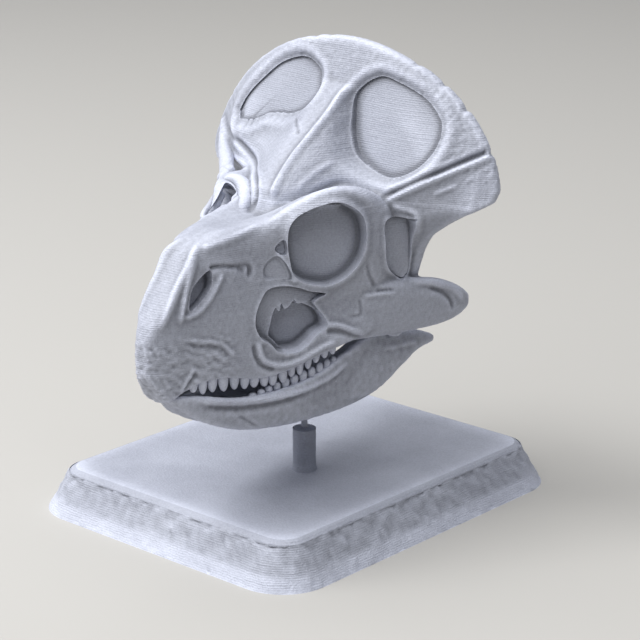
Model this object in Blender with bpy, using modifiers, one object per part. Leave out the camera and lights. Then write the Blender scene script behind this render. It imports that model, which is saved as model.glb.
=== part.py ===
"""A 3-D printed desk model of a frilled dinosaur skull on its stand.

Everything is worked out in millimetres and scaled to metres as a mesh is made.
The stand is drawn in the world frame: origin under the middle of the plinth, +Z up,
the snout towards -Y and the animal's left towards +X. The skull is drawn in its own
frame, whose X = 0 plane is the skull's plane of symmetry and whose Z axis is the post,
and the empty "skull_mount" carries it to its place over the post.
"""
import math

import bmesh
import bpy
import numpy as np
from mathutils import Matrix, Vector

MM = 0.001

# ---------------------------------------------------------------- driving dimensions, mm
PLINTH_X = 84.0
PLINTH_Y = 100.0
PLINTH_HEIGHT = 10.2
PLINTH_CORNER = 12.0
PLINTH_LEAN = 4.8
PLINTH_BEVEL_WIDTH = 1.9
PLINTH_BEVEL_DROP = 1.5

POST_X = 8.2
POST_Y = -6.9
POST_TOP = 20.7
POST_DIAMETER = 5.5
POST_FOOT_DIAMETER = 5.9
POST_CHAMFER = 0.5
PIN_DIAMETER = 1.5
PIN_BOTTOM = 17.4
PIN_TOP = 32.6
SOCKET_DIAMETER = 2.1
CLEARANCE = 0.3

FRILL_HALF_WIDTH = 43.2
FRILL_RIM_CENTRE = 75.0
FRILL_RIM_RISE = 35.8
FRILL_RIM_END = 11.0            # degrees above the horizontal, where the corner begins
FRILL_HUB = 70.0
FRILL_WALL = 3.2
FRILL_HUB_WALL = 8.0            # extra thickness where the frill meets the braincase
FRILL_EDGE_ROUND = 0.9
FRILL_CORNER = ((41.8, 79.4), (39.0, 77.6), (34.4, 75.2), (29.0, 71.9), (24.6, 67.8),
                (21.0, 61.6))
FRILL_PLANE_AT_ZERO = -22.0     # the flat middle part: Y at Z = 0, and its lean
FRILL_LEAN = 0.33
SWEEP_START = 29.0              # outside this X the frill sweeps back at this slope
SWEEP_SLOPE = 0.72
SWEEP_ROUND = 3.0
CREST_FLAT = 1.8                # half width of the flat top of the crest between the windows
CREST_HEIGHTS = (70.0, 81.2, 102.0)
CREST_PUSHES = (18.5, 17.3, 0.0)
CREST_FOOT_HEIGHTS = (80.0, 92.0, 102.0)
CREST_FEET = (8.5, 6.0, 4.5)
RIGHT_FOOT_HEIGHTS = (86.0, 93.0)
RIGHT_FOOT_WIDENING = (1.6, 1.0)
SEAM_INNER = (20.4, 79.0)       # where the seam over the corner block starts, and its rise
SEAM_RISE = 0.57
SEAM_ROUND = 2.4
BLOCK_STATIONS = (10.0, 15.0, 20.0, 25.0, 30.0, 39.0)
BLOCK_RATES = (0.0, 0.30, 0.60, 0.64, 0.5, 0.0)
ROLL_REACH = 0.72               # the outer band rolls back from this reach to the rim
ROLL_DEPTH = 3.0
ROLL_CENTRE = 28.0
ROLL_SPREAD = 9.0
HUB_REACH = 0.05                # the fan of rings starts this far out of the hub
REACH_CROWDING = 1.25           # above 1, the steps of a ring crowd towards the hub
SEAT_SLOPE_ALLOWANCE = 3.0      # a steep front needs more gap in Y to keep it square on
WINDOW_DEPTH = 1.7
WINDOW_TOOL_FRONT = -30.0

ORBIT_CENTRE = (15.7, -9.6, 70.8)
ORBIT_FACING = (0.83, -0.55, 0.10)
ORBIT_RADII = (9.2, 9.6, 5.2)
PREORBIT_CENTRE = (10.9, -17.9, 53.8)
PREORBIT_FACING = (0.90, -0.43, 0.0)
PREORBIT_RADII = (8.2, 7.4, 4.0)
TEMPLE_CENTRE = (21.5, 8.4, 66.2)
TEMPLE_FACING = (0.95, -0.30, 0.0)
TEMPLE_RADII = (3.3, 7.4, 4.0)
NOSTRIL_CENTRE = (5.3, -39.2, 64.0)
NOSTRIL_FACING = (0.94, -0.25, 0.2)
NOSTRIL_RADII = (1.9, 5.4, 2.4)
NOSTRIL_LEAN = 40.0

QUADRATE_FOOT = (17.6, 10.6, 45.0)
QUADRATE_HEAD = (18.4, 11.6, 62.0)
QUADRATE_FOOT_RADIUS = 2.7
QUADRATE_HEAD_RADIUS = 1.7
CONDYLE_CENTRE = (0.0, 13.6, 59.6)
CONDYLE_RADIUS = 2.9

SNOUT_END = -30.0               # the plane between snout and face
CHEEK_FRONT = -9.0              # the notch that takes a cheek: front, inner side and top
CHEEK_INSIDE = 11.5
CHEEK_TOP = 60.6
REACH_OF_TOOLS = 90.0           # cutting boxes run this far past the model

# ------------------------------------------------------------------------- the sections
# One row for each cross-section of the face, front to back: its Y, the height of the
# midline above, four (x, z) points down the side (brow, cheek, jowl, tooth line), and
# the height of the palate.
FACE_SECTIONS = (
    (-52.6, 55.0, 1.2, 54.0, 1.6, 51.0, 1.6, 48.5, 1.2, 46.6, 46.2),
    (-51.0, 58.8, 2.4, 57.8, 3.0, 54.0, 3.2, 50.0, 2.6, 44.6, 44.0),
    (-48.0, 62.6, 3.2, 61.6, 4.3, 56.0, 4.7, 49.0, 3.7, 41.0, 39.6),
    (-44.0, 67.2, 3.8, 66.4, 5.0, 60.0, 5.6, 52.0, 4.8, 42.6, 42.2),
    (-39.0, 73.0, 4.3, 72.0, 6.0, 64.0, 6.9, 54.0, 6.4, 44.8, 46.0),
    (-33.0, 75.6, 5.4, 74.6, 7.4, 66.0, 8.6, 54.0, 8.4, 44.4, 47.0),
    (-26.0, 75.6, 7.2, 75.2, 8.8, 66.0, 10.2, 54.0, 10.4, 43.9, 48.0),
    (-19.0, 75.4, 11.0, 77.6, 11.6, 68.0, 12.2, 54.0, 12.4, 43.8, 49.0),
    (-13.0, 75.0, 14.4, 81.8, 16.6, 71.0, 14.6, 56.0, 14.6, 44.8, 49.0),
    (-6.0, 74.0, 17.2, 83.2, 20.2, 71.0, 18.0, 57.0, 17.6, 46.6, 49.0),
    (1.0, 74.0, 18.6, 81.4, 22.0, 71.0, 20.4, 58.0, 19.6, 48.4, 50.0),
    (8.0, 73.6, 18.6, 76.4, 22.4, 69.0, 21.0, 60.0, 18.0, 51.0, 52.0),
    (13.5, 72.0, 15.6, 70.6, 19.6, 66.0, 18.0, 61.0, 12.0, 55.6, 54.6),
)

# The cheek bar: Y, X of its middle, lower edge, upper edge and half thickness.
CHEEK_SECTIONS = (
    (-15.0, 11.0, 47.6, 55.0, 1.6),
    (-9.0, 13.6, 46.8, 57.6, 2.2),
    (-2.0, 17.2, 46.8, 59.6, 2.7),
    (5.0, 20.2, 46.9, 60.0, 2.8),
    (11.0, 22.4, 47.0, 59.4, 2.7),
    (17.0, 24.2, 47.2, 58.6, 2.6),
    (21.5, 25.2, 47.7, 57.0, 2.3),
    (25.0, 25.9, 48.8, 55.0, 1.8),
    (27.4, 26.4, 50.2, 53.0, 0.9),
)
CHEEK_SQUARENESS = 0.62         # 1 is an ellipse; less is a bar with flatter sides

# The lower jaw: Y, lip (x, z), keel (x, z), floor height and midline keel height.
JAW_SECTIONS = (
    (-45.3, 2.0, 40.5, 1.6, 39.2, 40.1, 38.8),
    (-44.0, 3.8, 40.7, 3.2, 37.9, 39.4, 37.3),
    (-40.0, 5.6, 40.0, 5.0, 34.6, 37.0, 34.0),
    (-34.0, 8.0, 38.5, 7.0, 31.6, 35.4, 31.6),
    (-28.0, 10.1, 37.5, 8.8, 29.9, 34.4, 30.6),
    (-20.0, 12.4, 36.9, 10.8, 29.1, 34.0, 30.4),
    (-12.0, 14.9, 38.3, 12.6, 29.1, 34.2, 30.4),
    (-5.0, 17.0, 41.6, 14.2, 29.6, 34.6, 30.4),
    (2.0, 18.6, 44.2, 15.8, 30.8, 34.8, 30.4),
    (7.0, 19.4, 44.9, 17.0, 32.4, 35.0, 31.0),
)

# The free rear end of each jaw branch: Y, X of its middle, lower edge, upper edge.
BRANCH_SECTIONS = (
    (-4.0, 14.2, 31.0, 41.6),
    (3.0, 16.8, 31.8, 44.2),
    (8.0, 17.8, 33.4, 45.0),
    (13.0, 18.6, 36.8, 44.8),
    (17.0, 19.3, 39.6, 44.4),
    (20.0, 19.8, 41.0, 43.8),
    (21.8, 20.2, 41.7, 43.3),
)
BRANCH_HALF_THICKNESS = 1.9
BRANCH_SQUARENESS = 0.7
JAW_WALL = 2.4

# Rows of teeth: (x, y, z) along each gum line, the number of teeth, and their length.
UPPER_GUM = ((4.8, -40.6, 46.0), (6.9, -35.0, 45.4), (9.2, -28.0, 44.9),
             (11.2, -21.0, 44.8), (13.3, -14.6, 45.6), (15.9, -8.4, 47.4))
UPPER_TEETH = 14
UPPER_LENGTHS = (3.6, 5.0, 5.6, 5.2, 4.6, 4.0, 3.6)
LOWER_GUM = ((6.2, -28.0, 34.8), (8.2, -21.0, 34.8), (10.3, -14.6, 35.6), (12.6, -8.4, 38.2))
LOWER_TEETH = 9
LOWER_LENGTHS = (5.0, 5.2, 5.0, 4.6)
TOOTH_RADIUS = 1.12
TOOTH_TIP = 0.42                # tip radius as a share of the root's

# Window outlines in the frill, (x, z) seen from the front; the right one is part-closed.
LEFT_WINDOW = ((10.9, 104.1), (5.7, 100.2), (6.2, 94.6), (7.3, 91.0), (10.6, 86.4),
               (19.1, 83.3), (25.8, 85.6), (29.2, 89.7), (29.7, 94.7), (23.5, 101.2))
RIGHT_WINDOW = ((12.2, 105.7), (7.0, 103.9), (5.6, 98.4), (10.8, 93.4), (18.9, 91.9),
                (25.9, 89.3), (31.5, 90.0), (29.8, 93.9), (24.6, 99.3), (19.0, 103.6))


# ------------------------------------------------------------------------ small helpers
def smooth_through(rows, count):
    """A Catmull-Rom curve through rows of numbers, read at evenly spaced parameters."""
    rows = np.asarray(rows, float)
    ends = (2 * rows[0] - rows[1], 2 * rows[-1] - rows[-2])
    padded = np.vstack([ends[0], rows, ends[1]])
    place = np.linspace(0, len(rows) - 1, count)
    start = np.minimum(place.astype(int), len(rows) - 2)
    part = (place - start)[:, None]
    a, b, c, d = (padded[start + step] for step in range(4))
    bend = 2 * a - 5 * b + 4 * c - d + part * (3 * (b - c) + d - a)
    return b + 0.5 * part * (c - a + part * bend)


def closed_through(rows, count):
    """The same curve closed on itself, without a repeated last point."""
    rows = np.asarray(rows, float)
    wrapped = np.vstack([rows[-3:], rows, rows[:3]])
    steps = len(wrapped) - 1
    fine = smooth_through(wrapped, steps * count + 1)
    return fine[3 * count:3 * count + len(rows) * count]


def new_object(name, mesh, collection):
    """An object for a mesh, linked to a collection."""
    item = bpy.data.objects.new(name, mesh)
    collection.objects.link(item)
    return item


def skin_rings(name, rings, collection):
    """A closed solid through a stack of closed rings, with a flat cap at each end."""
    rings = np.asarray(rings, float) * MM
    count, size, _ = rings.shape
    shape = bmesh.new()
    verts = [[shape.verts.new(point) for point in ring] for ring in rings]
    for lower, upper in zip(verts, verts[1:]):
        for k in range(size):
            after = (k + 1) % size
            shape.faces.new((lower[k], lower[after], upper[after], upper[k]))
    shape.faces.new(verts[0][::-1])
    shape.faces.new(verts[-1])
    bmesh.ops.remove_doubles(shape, verts=shape.verts, dist=1e-6)
    bmesh.ops.recalc_face_normals(shape, faces=shape.faces)
    mesh = bpy.data.meshes.new(name)
    shape.to_mesh(mesh)
    shape.free()
    return new_object(name, mesh, collection)


def mirrored_ring(half):
    """A closed ring from its +X half, whose first and last points lie on the midline."""
    other = half[-2:0:-1] * np.array([-1.0, 1.0, 1.0])
    return np.vstack([half, other])


def mirrored_copy(rings):
    """The same rings on the other side of the midline."""
    return np.asarray(rings) * np.array([-1.0, 1.0, 1.0])


def combine(target, tool, operation):
    """Join or cut target with tool."""
    step = target.modifiers.new(operation.title(), "BOOLEAN")
    step.operation = operation
    step.solver = "EXACT"
    step.object = tool


def settle(item):
    """Replace an object's mesh by its evaluated mesh, with no modifiers left."""
    bpy.context.view_layer.update()
    graph = bpy.context.evaluated_depsgraph_get()
    mesh = bpy.data.meshes.new_from_object(item.evaluated_get(graph))
    item.modifiers.clear()
    old = item.data
    item.data = mesh
    mesh.name = item.name
    bpy.data.meshes.remove(old)


def hide_tool(item):
    """Mark an object as a cutter or a blank, not a piece of the model."""
    item.hide_render = True
    item.display_type = "WIRE"


def printed_plastic(name, colour, roughness):
    """A matte plastic."""
    material = bpy.data.materials.new(name)
    material.use_nodes = True
    shader = material.node_tree.nodes["Principled BSDF"]
    shader.inputs["Base Color"].default_value = (*colour, 1.0)
    shader.inputs["Roughness"].default_value = roughness
    shader.inputs["Metallic"].default_value = 0.0
    return material


# --------------------------------------------------------------------------- the frill
def frill_plane(z):
    """Y of the frill's flat middle part: it leans back as it rises."""
    return FRILL_PLANE_AT_ZERO + FRILL_LEAN * z


def crest_push(x, z):
    """How far the crest between the windows stands forward of that plane."""
    push = np.interp(z, CREST_HEIGHTS, CREST_PUSHES)
    foot = np.interp(z, CREST_FOOT_HEIGHTS, CREST_FEET)
    widening = np.interp(z, RIGHT_FOOT_HEIGHTS, RIGHT_FOOT_WIDENING)
    foot = foot * np.where(x < 0.0, widening, 1.0)
    off = np.maximum(np.abs(x) - CREST_FLAT, 0.0) / foot
    return push * np.exp(-off ** 2)


def side_sweep(x):
    """How far the outer part is swept back: none near the middle, then a steady slope."""
    beyond = np.abs(x) - SWEEP_START
    return 0.5 * SWEEP_SLOPE * (beyond + np.hypot(beyond, SWEEP_ROUND))


def seam_height(x):
    """Height of the seam over the block at each lower corner of the frill."""
    return SEAM_INNER[1] + SEAM_RISE * (np.abs(x) - SEAM_INNER[0])


def block_retreat(x, z):
    """How far the face of that block falls back below the seam, in a rounded fold."""
    above = z - seam_height(x)
    below = 0.5 * (np.hypot(above, SEAM_ROUND) - above)
    return below * np.interp(np.abs(x), BLOCK_STATIONS, BLOCK_RATES)


def rim_roll(x, reach):
    """How far the outer band rolls back towards the rim, by reach from hub to rim."""
    band = np.clip((reach - ROLL_REACH) / (1.0 - ROLL_REACH), 0.0, 1.0)
    return ROLL_DEPTH * np.exp(-((np.abs(x) - ROLL_CENTRE) / ROLL_SPREAD) ** 2) * band ** 1.5


def frill_front(x, z, reach):
    """Y of the front of the frill."""
    flat = frill_plane(z) + side_sweep(x) + rim_roll(x, reach)
    return flat - crest_push(x, z) + block_retreat(x, z)


def frill_back(x, z, reach):
    """Y of the back: a thin wall at the rim, thicker towards the hub."""
    flat = frill_plane(z) + side_sweep(x) + rim_roll(x, reach)
    wall = FRILL_WALL + FRILL_HUB_WALL * (1.0 - reach)
    return np.maximum(flat + wall, frill_front(x, z, reach) + FRILL_WALL)


def frill_outline(arc_count, edge_count):
    """(x, z) down the frill's left edge: half an ellipse, then the lower corner."""
    turn = np.linspace(math.radians(90.0), math.radians(FRILL_RIM_END), arc_count)
    arc = np.stack([FRILL_HALF_WIDTH * np.cos(turn),
                    FRILL_RIM_CENTRE + FRILL_RIM_RISE * np.sin(turn)], axis=1)
    return np.vstack([arc, smooth_through(FRILL_CORNER, edge_count)])


def frill_rings(gap, arc_count=15, edge_count=6, steps=10):
    """Rings round the frill's thickness, one on each line from the hub to the edge.

    With a gap, the rings stand off by it all round, and one more closes each end, which
    makes the seat that the face is cut back to.
    """
    half = frill_outline(arc_count, edge_count)
    edge = np.vstack([half[::-1], half[1:] * np.array([-1.0, 1.0])])
    hub = np.array([0.0, FRILL_HUB])
    spaced = np.linspace(0.0, 1.0, steps) ** REACH_CROWDING
    reach = HUB_REACH + (1.0 - HUB_REACH) * spaced
    rings = []
    for end in edge:
        outward = end - hub
        unit = outward / np.hypot(*outward)
        line = hub + outward * reach[:, None]
        front = frill_front(line[:, 0], line[:, 1], reach) - SEAT_SLOPE_ALLOWANCE * gap
        back = frill_back(line[:, 0], line[:, 1], reach) + SEAT_SLOPE_ALLOWANCE * gap
        line[0] -= gap * unit
        line[-1] += gap * unit
        tip = line[-1] + FRILL_EDGE_ROUND * unit
        rounded = np.array([[tip[0], 0.5 * (front[-1] + back[-1]), tip[1]]])
        ahead = np.stack([line[:, 0], front, line[:, 1]], axis=1)
        behind = np.stack([line[:, 0], back, line[:, 1]], axis=1)[::-1]
        rings.append(np.vstack([ahead, rounded, behind]))
    if gap > 0.0:
        unit = (edge[0] - hub) / np.hypot(*(edge[0] - hub))
        aside = gap * np.array([unit[1], 0.0, -unit[0]])
        rings.insert(0, rings[0] + aside)
        rings.append(rings[-1] + aside * np.array([-1.0, 1.0, 1.0]))
    return rings


def window_cutter(name, outline, side, collection):
    """A prism from in front of the frill back to the floor of a window."""
    ring = closed_through(outline, 2)
    x = ring[:, 0] * side
    z = ring[:, 1]
    floor = frill_plane(z) + side_sweep(x) + WINDOW_DEPTH
    front = np.stack([x, np.full_like(x, WINDOW_TOOL_FRONT), z], axis=1)
    back = np.stack([x, floor, z], axis=1)
    cutter = skin_rings(name, [front, back], collection)
    hide_tool(cutter)
    return cutter


def make_frill(parts, tools):
    """The frill: one curved sheet with its crest, and two windows with solid floors."""
    frill = skin_rings("frill", frill_rings(0.0), parts)
    for side, outline, name in ((1, LEFT_WINDOW, "left"), (-1, RIGHT_WINDOW, "right")):
        combine(frill, window_cutter("frill_window_" + name, outline, side, tools), "DIFFERENCE")
    return frill


# ---------------------------------------------------------------------------- the face
def face_rings(rows=24, points=12):
    """The loft of the face, from the beak to the back of the braincase."""
    rings = []
    for row in smooth_through(FACE_SECTIONS, rows):
        y, top, *side, bottom = row
        marks = [(0.0, top), *zip(side[0::2], side[1::2]), (0.0, bottom)]
        outline = smooth_through(marks, points)
        half = np.stack([np.maximum(outline[:, 0], 0.0),
                         np.full(points, y), outline[:, 1]], axis=1)
        half[[0, -1], 0] = 0.0
        rings.append(mirrored_ring(half))
    return rings


def bar_ring(y, x, low, high, thick, squareness, points):
    """An upright ring of a bar: an ellipse whose sides are flattened by squareness."""
    turn = np.linspace(0.0, 2.0 * math.pi, points, endpoint=False) + math.pi / points
    across = np.sign(np.cos(turn)) * np.abs(np.cos(turn)) ** squareness
    along = np.sign(np.sin(turn)) * np.abs(np.sin(turn)) ** squareness
    return np.stack([x + thick * across, np.full(points, y),
                     0.5 * (low + high) + 0.5 * (high - low) * along], axis=1)


def cheek_rings(rows=11, points=10):
    """The cheek bar: upright rounded plates from under the eye to the rear tip."""
    return [bar_ring(*row, CHEEK_SQUARENESS, points)
            for row in smooth_through(CHEEK_SECTIONS, rows)]


def bowl_cutter(name, centre, facing, radii, lean, side, collection):
    """An ellipsoid laid on the surface at centre, its short axis along facing."""
    shape = bmesh.new()
    bmesh.ops.create_uvsphere(shape, u_segments=14, v_segments=7, radius=1.0)
    out = Vector((facing[0] * side, facing[1], facing[2])).normalized()
    across = Vector((0.0, 0.0, 1.0)).cross(out).normalized()
    up = out.cross(across)
    turn = Matrix((across, up, out)).transposed().to_4x4()
    spin = Matrix.Rotation(math.radians(lean * side), 4, "Z")
    size = Matrix.Diagonal((*[value * MM for value in radii], 1.0))
    place = Matrix.Translation(Vector((centre[0] * side, centre[1], centre[2])) * MM)
    bmesh.ops.transform(shape, matrix=place @ turn @ spin @ size, verts=shape.verts)
    mesh = bpy.data.meshes.new(name)
    shape.to_mesh(mesh)
    shape.free()
    cutter = new_object(name, mesh, collection)
    hide_tool(cutter)
    return cutter


def cone_between(name, foot, head, foot_radius, head_radius, side, collection):
    """An eight-sided rod that tapers from one point to another."""
    low = Vector((foot[0] * side, *foot[1:]))
    high = Vector((head[0] * side, *head[1:]))
    axis = high - low
    shape = bmesh.new()
    turn = axis.to_track_quat("Z", "Y").to_matrix().to_4x4()
    place = Matrix.Translation(0.5 * (low + high) * MM) @ turn
    bmesh.ops.create_cone(shape, cap_ends=True, segments=8, radius1=foot_radius * MM,
                          radius2=head_radius * MM, depth=axis.length * MM, matrix=place)
    mesh = bpy.data.meshes.new(name)
    shape.to_mesh(mesh)
    shape.free()
    rod = new_object(name, mesh, collection)
    hide_tool(rod)
    return rod


def ball(name, centre, radius, collection):
    """A round knob."""
    shape = bmesh.new()
    bmesh.ops.create_uvsphere(shape, u_segments=10, v_segments=6, radius=radius * MM,
                              matrix=Matrix.Translation(Vector(centre) * MM))
    mesh = bpy.data.meshes.new(name)
    shape.to_mesh(mesh)
    shape.free()
    knob = new_object(name, mesh, collection)
    hide_tool(knob)
    return knob


def box_tool(name, low, high, collection):
    """A box between two corners, for parting one node from the next."""
    bpy.ops.mesh.primitive_cube_add(size=1.0)
    box = bpy.context.object
    box.name = name
    size = [(b - a) * MM for a, b in zip(low, high)]
    middle = [(a + b) * 0.5 * MM for a, b in zip(low, high)]
    box.data.transform(Matrix.Translation(middle) @ Matrix.Diagonal((*size, 1.0)))
    for owner in list(box.users_collection):
        owner.objects.unlink(box)
    collection.objects.link(box)
    hide_tool(box)
    return box


def tooth_row(gum, count, lengths, direction, side):
    """Places and lengths of the teeth along a gum line, as (root, tip, radius) in mm."""
    roots = smooth_through(gum, count)
    sizes = np.interp(np.linspace(0, 1, count), np.linspace(0, 1, len(lengths)), lengths)
    return [(root * np.array([side, 1, 1]),
             (root + np.array([0, 0, direction]) * size) * np.array([side, 1, 1]),
             TOOTH_RADIUS) for root, size in zip(roots, sizes)]


def add_teeth(name, teeth, collection):
    """Blunt five-sided cones, each one rooted inside the bone it grows from."""
    shape = bmesh.new()
    for root, tip, radius in teeth:
        axis = Vector(tip - root)
        turn = axis.to_track_quat("Z", "Y").to_matrix().to_4x4()
        place = Matrix.Translation(Vector(0.5 * (root + tip)) * MM) @ turn
        bmesh.ops.create_cone(shape, cap_ends=True, segments=5, radius1=radius * MM,
                              radius2=TOOTH_TIP * radius * MM, depth=axis.length * MM, matrix=place)
    mesh = bpy.data.meshes.new(name)
    shape.to_mesh(mesh)
    shape.free()
    teeth_object = new_object(name, mesh, collection)
    hide_tool(teeth_object)
    return teeth_object


def make_face(parts, tools):
    """The face with its openings, cut into snout, face and two cheeks."""
    blank = skin_rings("face_blank", face_rings(), tools)
    hide_tool(blank)
    for side, word in ((1, "left"), (-1, "right")):
        rings = cheek_rings()
        if side < 0:
            rings = mirrored_copy(rings)
        cheek = skin_rings("cheek_blank_" + word, rings, tools)
        hide_tool(cheek)
        combine(blank, cheek, "UNION")
        quadrate = cone_between("quadrate_" + word, QUADRATE_FOOT, QUADRATE_HEAD,
                                QUADRATE_FOOT_RADIUS, QUADRATE_HEAD_RADIUS, side, tools)
        combine(blank, quadrate, "UNION")
        teeth = tooth_row(UPPER_GUM, UPPER_TEETH, UPPER_LENGTHS, -1, side)
        combine(blank, add_teeth("upper_teeth_" + word, teeth, tools), "UNION")
        for name, centre, facing, radii, lean in (
                ("orbit_", ORBIT_CENTRE, ORBIT_FACING, ORBIT_RADII, 0.0),
                ("preorbit_", PREORBIT_CENTRE, PREORBIT_FACING, PREORBIT_RADII, 0.0),
                ("temple_", TEMPLE_CENTRE, TEMPLE_FACING, TEMPLE_RADII, 0.0),
                ("nostril_", NOSTRIL_CENTRE, NOSTRIL_FACING, NOSTRIL_RADII, NOSTRIL_LEAN)):
            bowl = bowl_cutter(name + word, centre, facing, radii, lean, side, tools)
            combine(blank, bowl, "DIFFERENCE")
    combine(blank, ball("condyle", CONDYLE_CENTRE, CONDYLE_RADIUS, tools), "UNION")
    seat = skin_rings("frill_seat", frill_rings(CLEARANCE), tools)
    hide_tool(seat)
    combine(blank, seat, "DIFFERENCE")
    settle(blank)

    half_gap = 0.5 * CLEARANCE
    far = REACH_OF_TOOLS
    behind = box_tool("behind_snout", (-far, SNOUT_END - half_gap, -far),
                      (far, far, 2 * far), tools)
    ahead = box_tool("ahead_of_face", (-far, -far, -far),
                     (far, SNOUT_END + half_gap, 2 * far), tools)
    pieces = {}
    for name in ("snout", "face", "cheek_left", "cheek_right"):
        pieces[name] = new_object(name, blank.data.copy(), parts)
    combine(pieces["snout"], behind, "DIFFERENCE")
    combine(pieces["face"], ahead, "DIFFERENCE")
    for side, name in ((1, "cheek_left"), (-1, "cheek_right")):
        for grow, piece, operation in ((half_gap, pieces["face"], "DIFFERENCE"),
                                       (-half_gap, pieces[name], "INTERSECT")):
            inner, outer = sorted((side * (CHEEK_INSIDE - grow), side * far))
            box = box_tool(name + "_" + operation.lower(), (inner, CHEEK_FRONT - grow, -far),
                           (outer, far, CHEEK_TOP + grow), tools)
            combine(piece, box, operation)
    return pieces


# ----------------------------------------------------------------------- the lower jaw
def jaw_rings(rows=14, points=14):
    """The jaw body: two upright branches and the floor between them."""
    rings = []
    for y, lip_x, lip_z, keel_x, keel_z, floor, middle in smooth_through(JAW_SECTIONS, rows):
        wall = min(JAW_WALL, 0.45 * lip_x)
        marks = [(0.0, middle), (0.6 * keel_x, 0.5 * (middle + keel_z)), (keel_x, keel_z),
                 (0.5 * (keel_x + lip_x) + 0.5, 0.5 * (keel_z + lip_z)), (lip_x, lip_z),
                 (lip_x - wall, lip_z - 0.3), (0.8 * (lip_x - wall), lip_z - 1.6),
                 (0.6 * (lip_x - wall), floor + 0.3), (0.3 * lip_x, floor), (0.0, floor)]
        outline = smooth_through(marks, points)
        half = np.stack([np.maximum(outline[:, 0], 0.0),
                         np.full(points, y), outline[:, 1]], axis=1)
        half[[0, -1], 0] = 0.0
        rings.append(mirrored_ring(half))
    return rings


def branch_rings(rows=9, points=8):
    """The free rear end of a jaw branch."""
    rings = []
    for y, x, low, high in smooth_through(BRANCH_SECTIONS, rows):
        thick = min(BRANCH_HALF_THICKNESS, 0.8 * (high - low))
        rings.append(bar_ring(y, x, low, high, thick, BRANCH_SQUARENESS, points))
    return rings


def cylinder_tool(name, radius, low, high, collection):
    """An upright cylinder on the post's axis, for a socket."""
    bpy.ops.mesh.primitive_cylinder_add(vertices=16, radius=radius * MM, depth=(high - low) * MM)
    tool = bpy.context.object
    tool.name = name
    tool.data.transform(Matrix.Translation((0.0, 0.0, 0.5 * (low + high) * MM)))
    for owner in list(tool.users_collection):
        owner.objects.unlink(tool)
    collection.objects.link(tool)
    hide_tool(tool)
    return tool


def make_jaw(parts, tools):
    """The lower jaw with its teeth, and the socket that takes the stand's pin."""
    jaw = skin_rings("lower_jaw", jaw_rings(), parts)
    for side, word in ((1, "left"), (-1, "right")):
        rings = branch_rings()
        if side < 0:
            rings = mirrored_copy(rings)
        branch = skin_rings("jaw_branch_" + word, rings, tools)
        hide_tool(branch)
        combine(jaw, branch, "UNION")
        teeth = tooth_row(LOWER_GUM, LOWER_TEETH, LOWER_LENGTHS, 1, side)
        combine(jaw, add_teeth("lower_teeth_" + word, teeth, tools), "UNION")
    combine(jaw, cylinder_tool("jaw_socket", SOCKET_DIAMETER / 2, 20.0,
                               PIN_TOP + CLEARANCE, tools), "DIFFERENCE")
    return jaw


# ----------------------------------------------------------------------------- the stand
def rounded_rectangle(half_x, half_y, radius, per_corner=7):
    """(x, y) round a rectangle with a quarter circle at each corner."""
    points = []
    for quarter in range(4):
        turn = np.radians(90.0 * quarter + np.linspace(0.0, 90.0, per_corner))
        centre_x = (half_x - radius) * (1 if quarter in (0, 3) else -1)
        centre_y = (half_y - radius) * (1 if quarter in (0, 1) else -1)
        points.append(np.stack([centre_x + radius * np.cos(turn),
                                centre_y + radius * np.sin(turn)], axis=1))
    return np.vstack(points)


def make_plinth(parts):
    """The plinth: leaning sides, a narrow bevel, and a flat top."""
    levels = ((0.0, 0.0), (PLINTH_LEAN, PLINTH_HEIGHT - PLINTH_BEVEL_DROP),
              (PLINTH_LEAN + PLINTH_BEVEL_WIDTH, PLINTH_HEIGHT))
    rings = []
    for inset, height in levels:
        outline = rounded_rectangle(PLINTH_X / 2 - inset, PLINTH_Y / 2 - inset,
                                    PLINTH_CORNER - inset)
        rings.append(np.column_stack([outline, np.full(len(outline), height)]))
    return skin_rings("stand_base", rings, parts)


def turned(name, profile, x, y, collection):
    """A round piece turned from (radius, height) pairs listed from the top down."""
    mesh = bpy.data.meshes.new(name)
    points = [(radius * MM, 0.0, height * MM) for radius, height in profile]
    mesh.from_pydata(points, [(k, k + 1) for k in range(len(points) - 1)], [])
    item = new_object(name, mesh, collection)
    item.location = (x * MM, y * MM, 0.0)
    screw = item.modifiers.new("Turn", "SCREW")
    screw.steps = 24
    screw.render_steps = 24
    screw.use_merge_vertices = True
    screw.merge_threshold = 0.00001
    return item


def make_stand(parts):
    """Plinth, post with a socket in its top, and the pin that runs into the jaw."""
    base = make_plinth(parts)
    foot = PLINTH_HEIGHT + CLEARANCE
    post_radius = POST_DIAMETER / 2
    socket = SOCKET_DIAMETER / 2
    post = turned("stand_post", ((0.0, PIN_BOTTOM - CLEARANCE), (socket, PIN_BOTTOM - CLEARANCE),
                                 (socket, POST_TOP), (post_radius - POST_CHAMFER, POST_TOP),
                                 (post_radius, POST_TOP - POST_CHAMFER),
                                 (POST_FOOT_DIAMETER / 2, foot), (0.0, foot)),
                  POST_X, POST_Y, parts)
    pin_radius = PIN_DIAMETER / 2
    pin = turned("stand_pin", ((0.0, PIN_TOP), (pin_radius, PIN_TOP),
                               (pin_radius, PIN_BOTTOM), (0.0, PIN_BOTTOM)),
                 POST_X, POST_Y, parts)
    return base, post, pin


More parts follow.
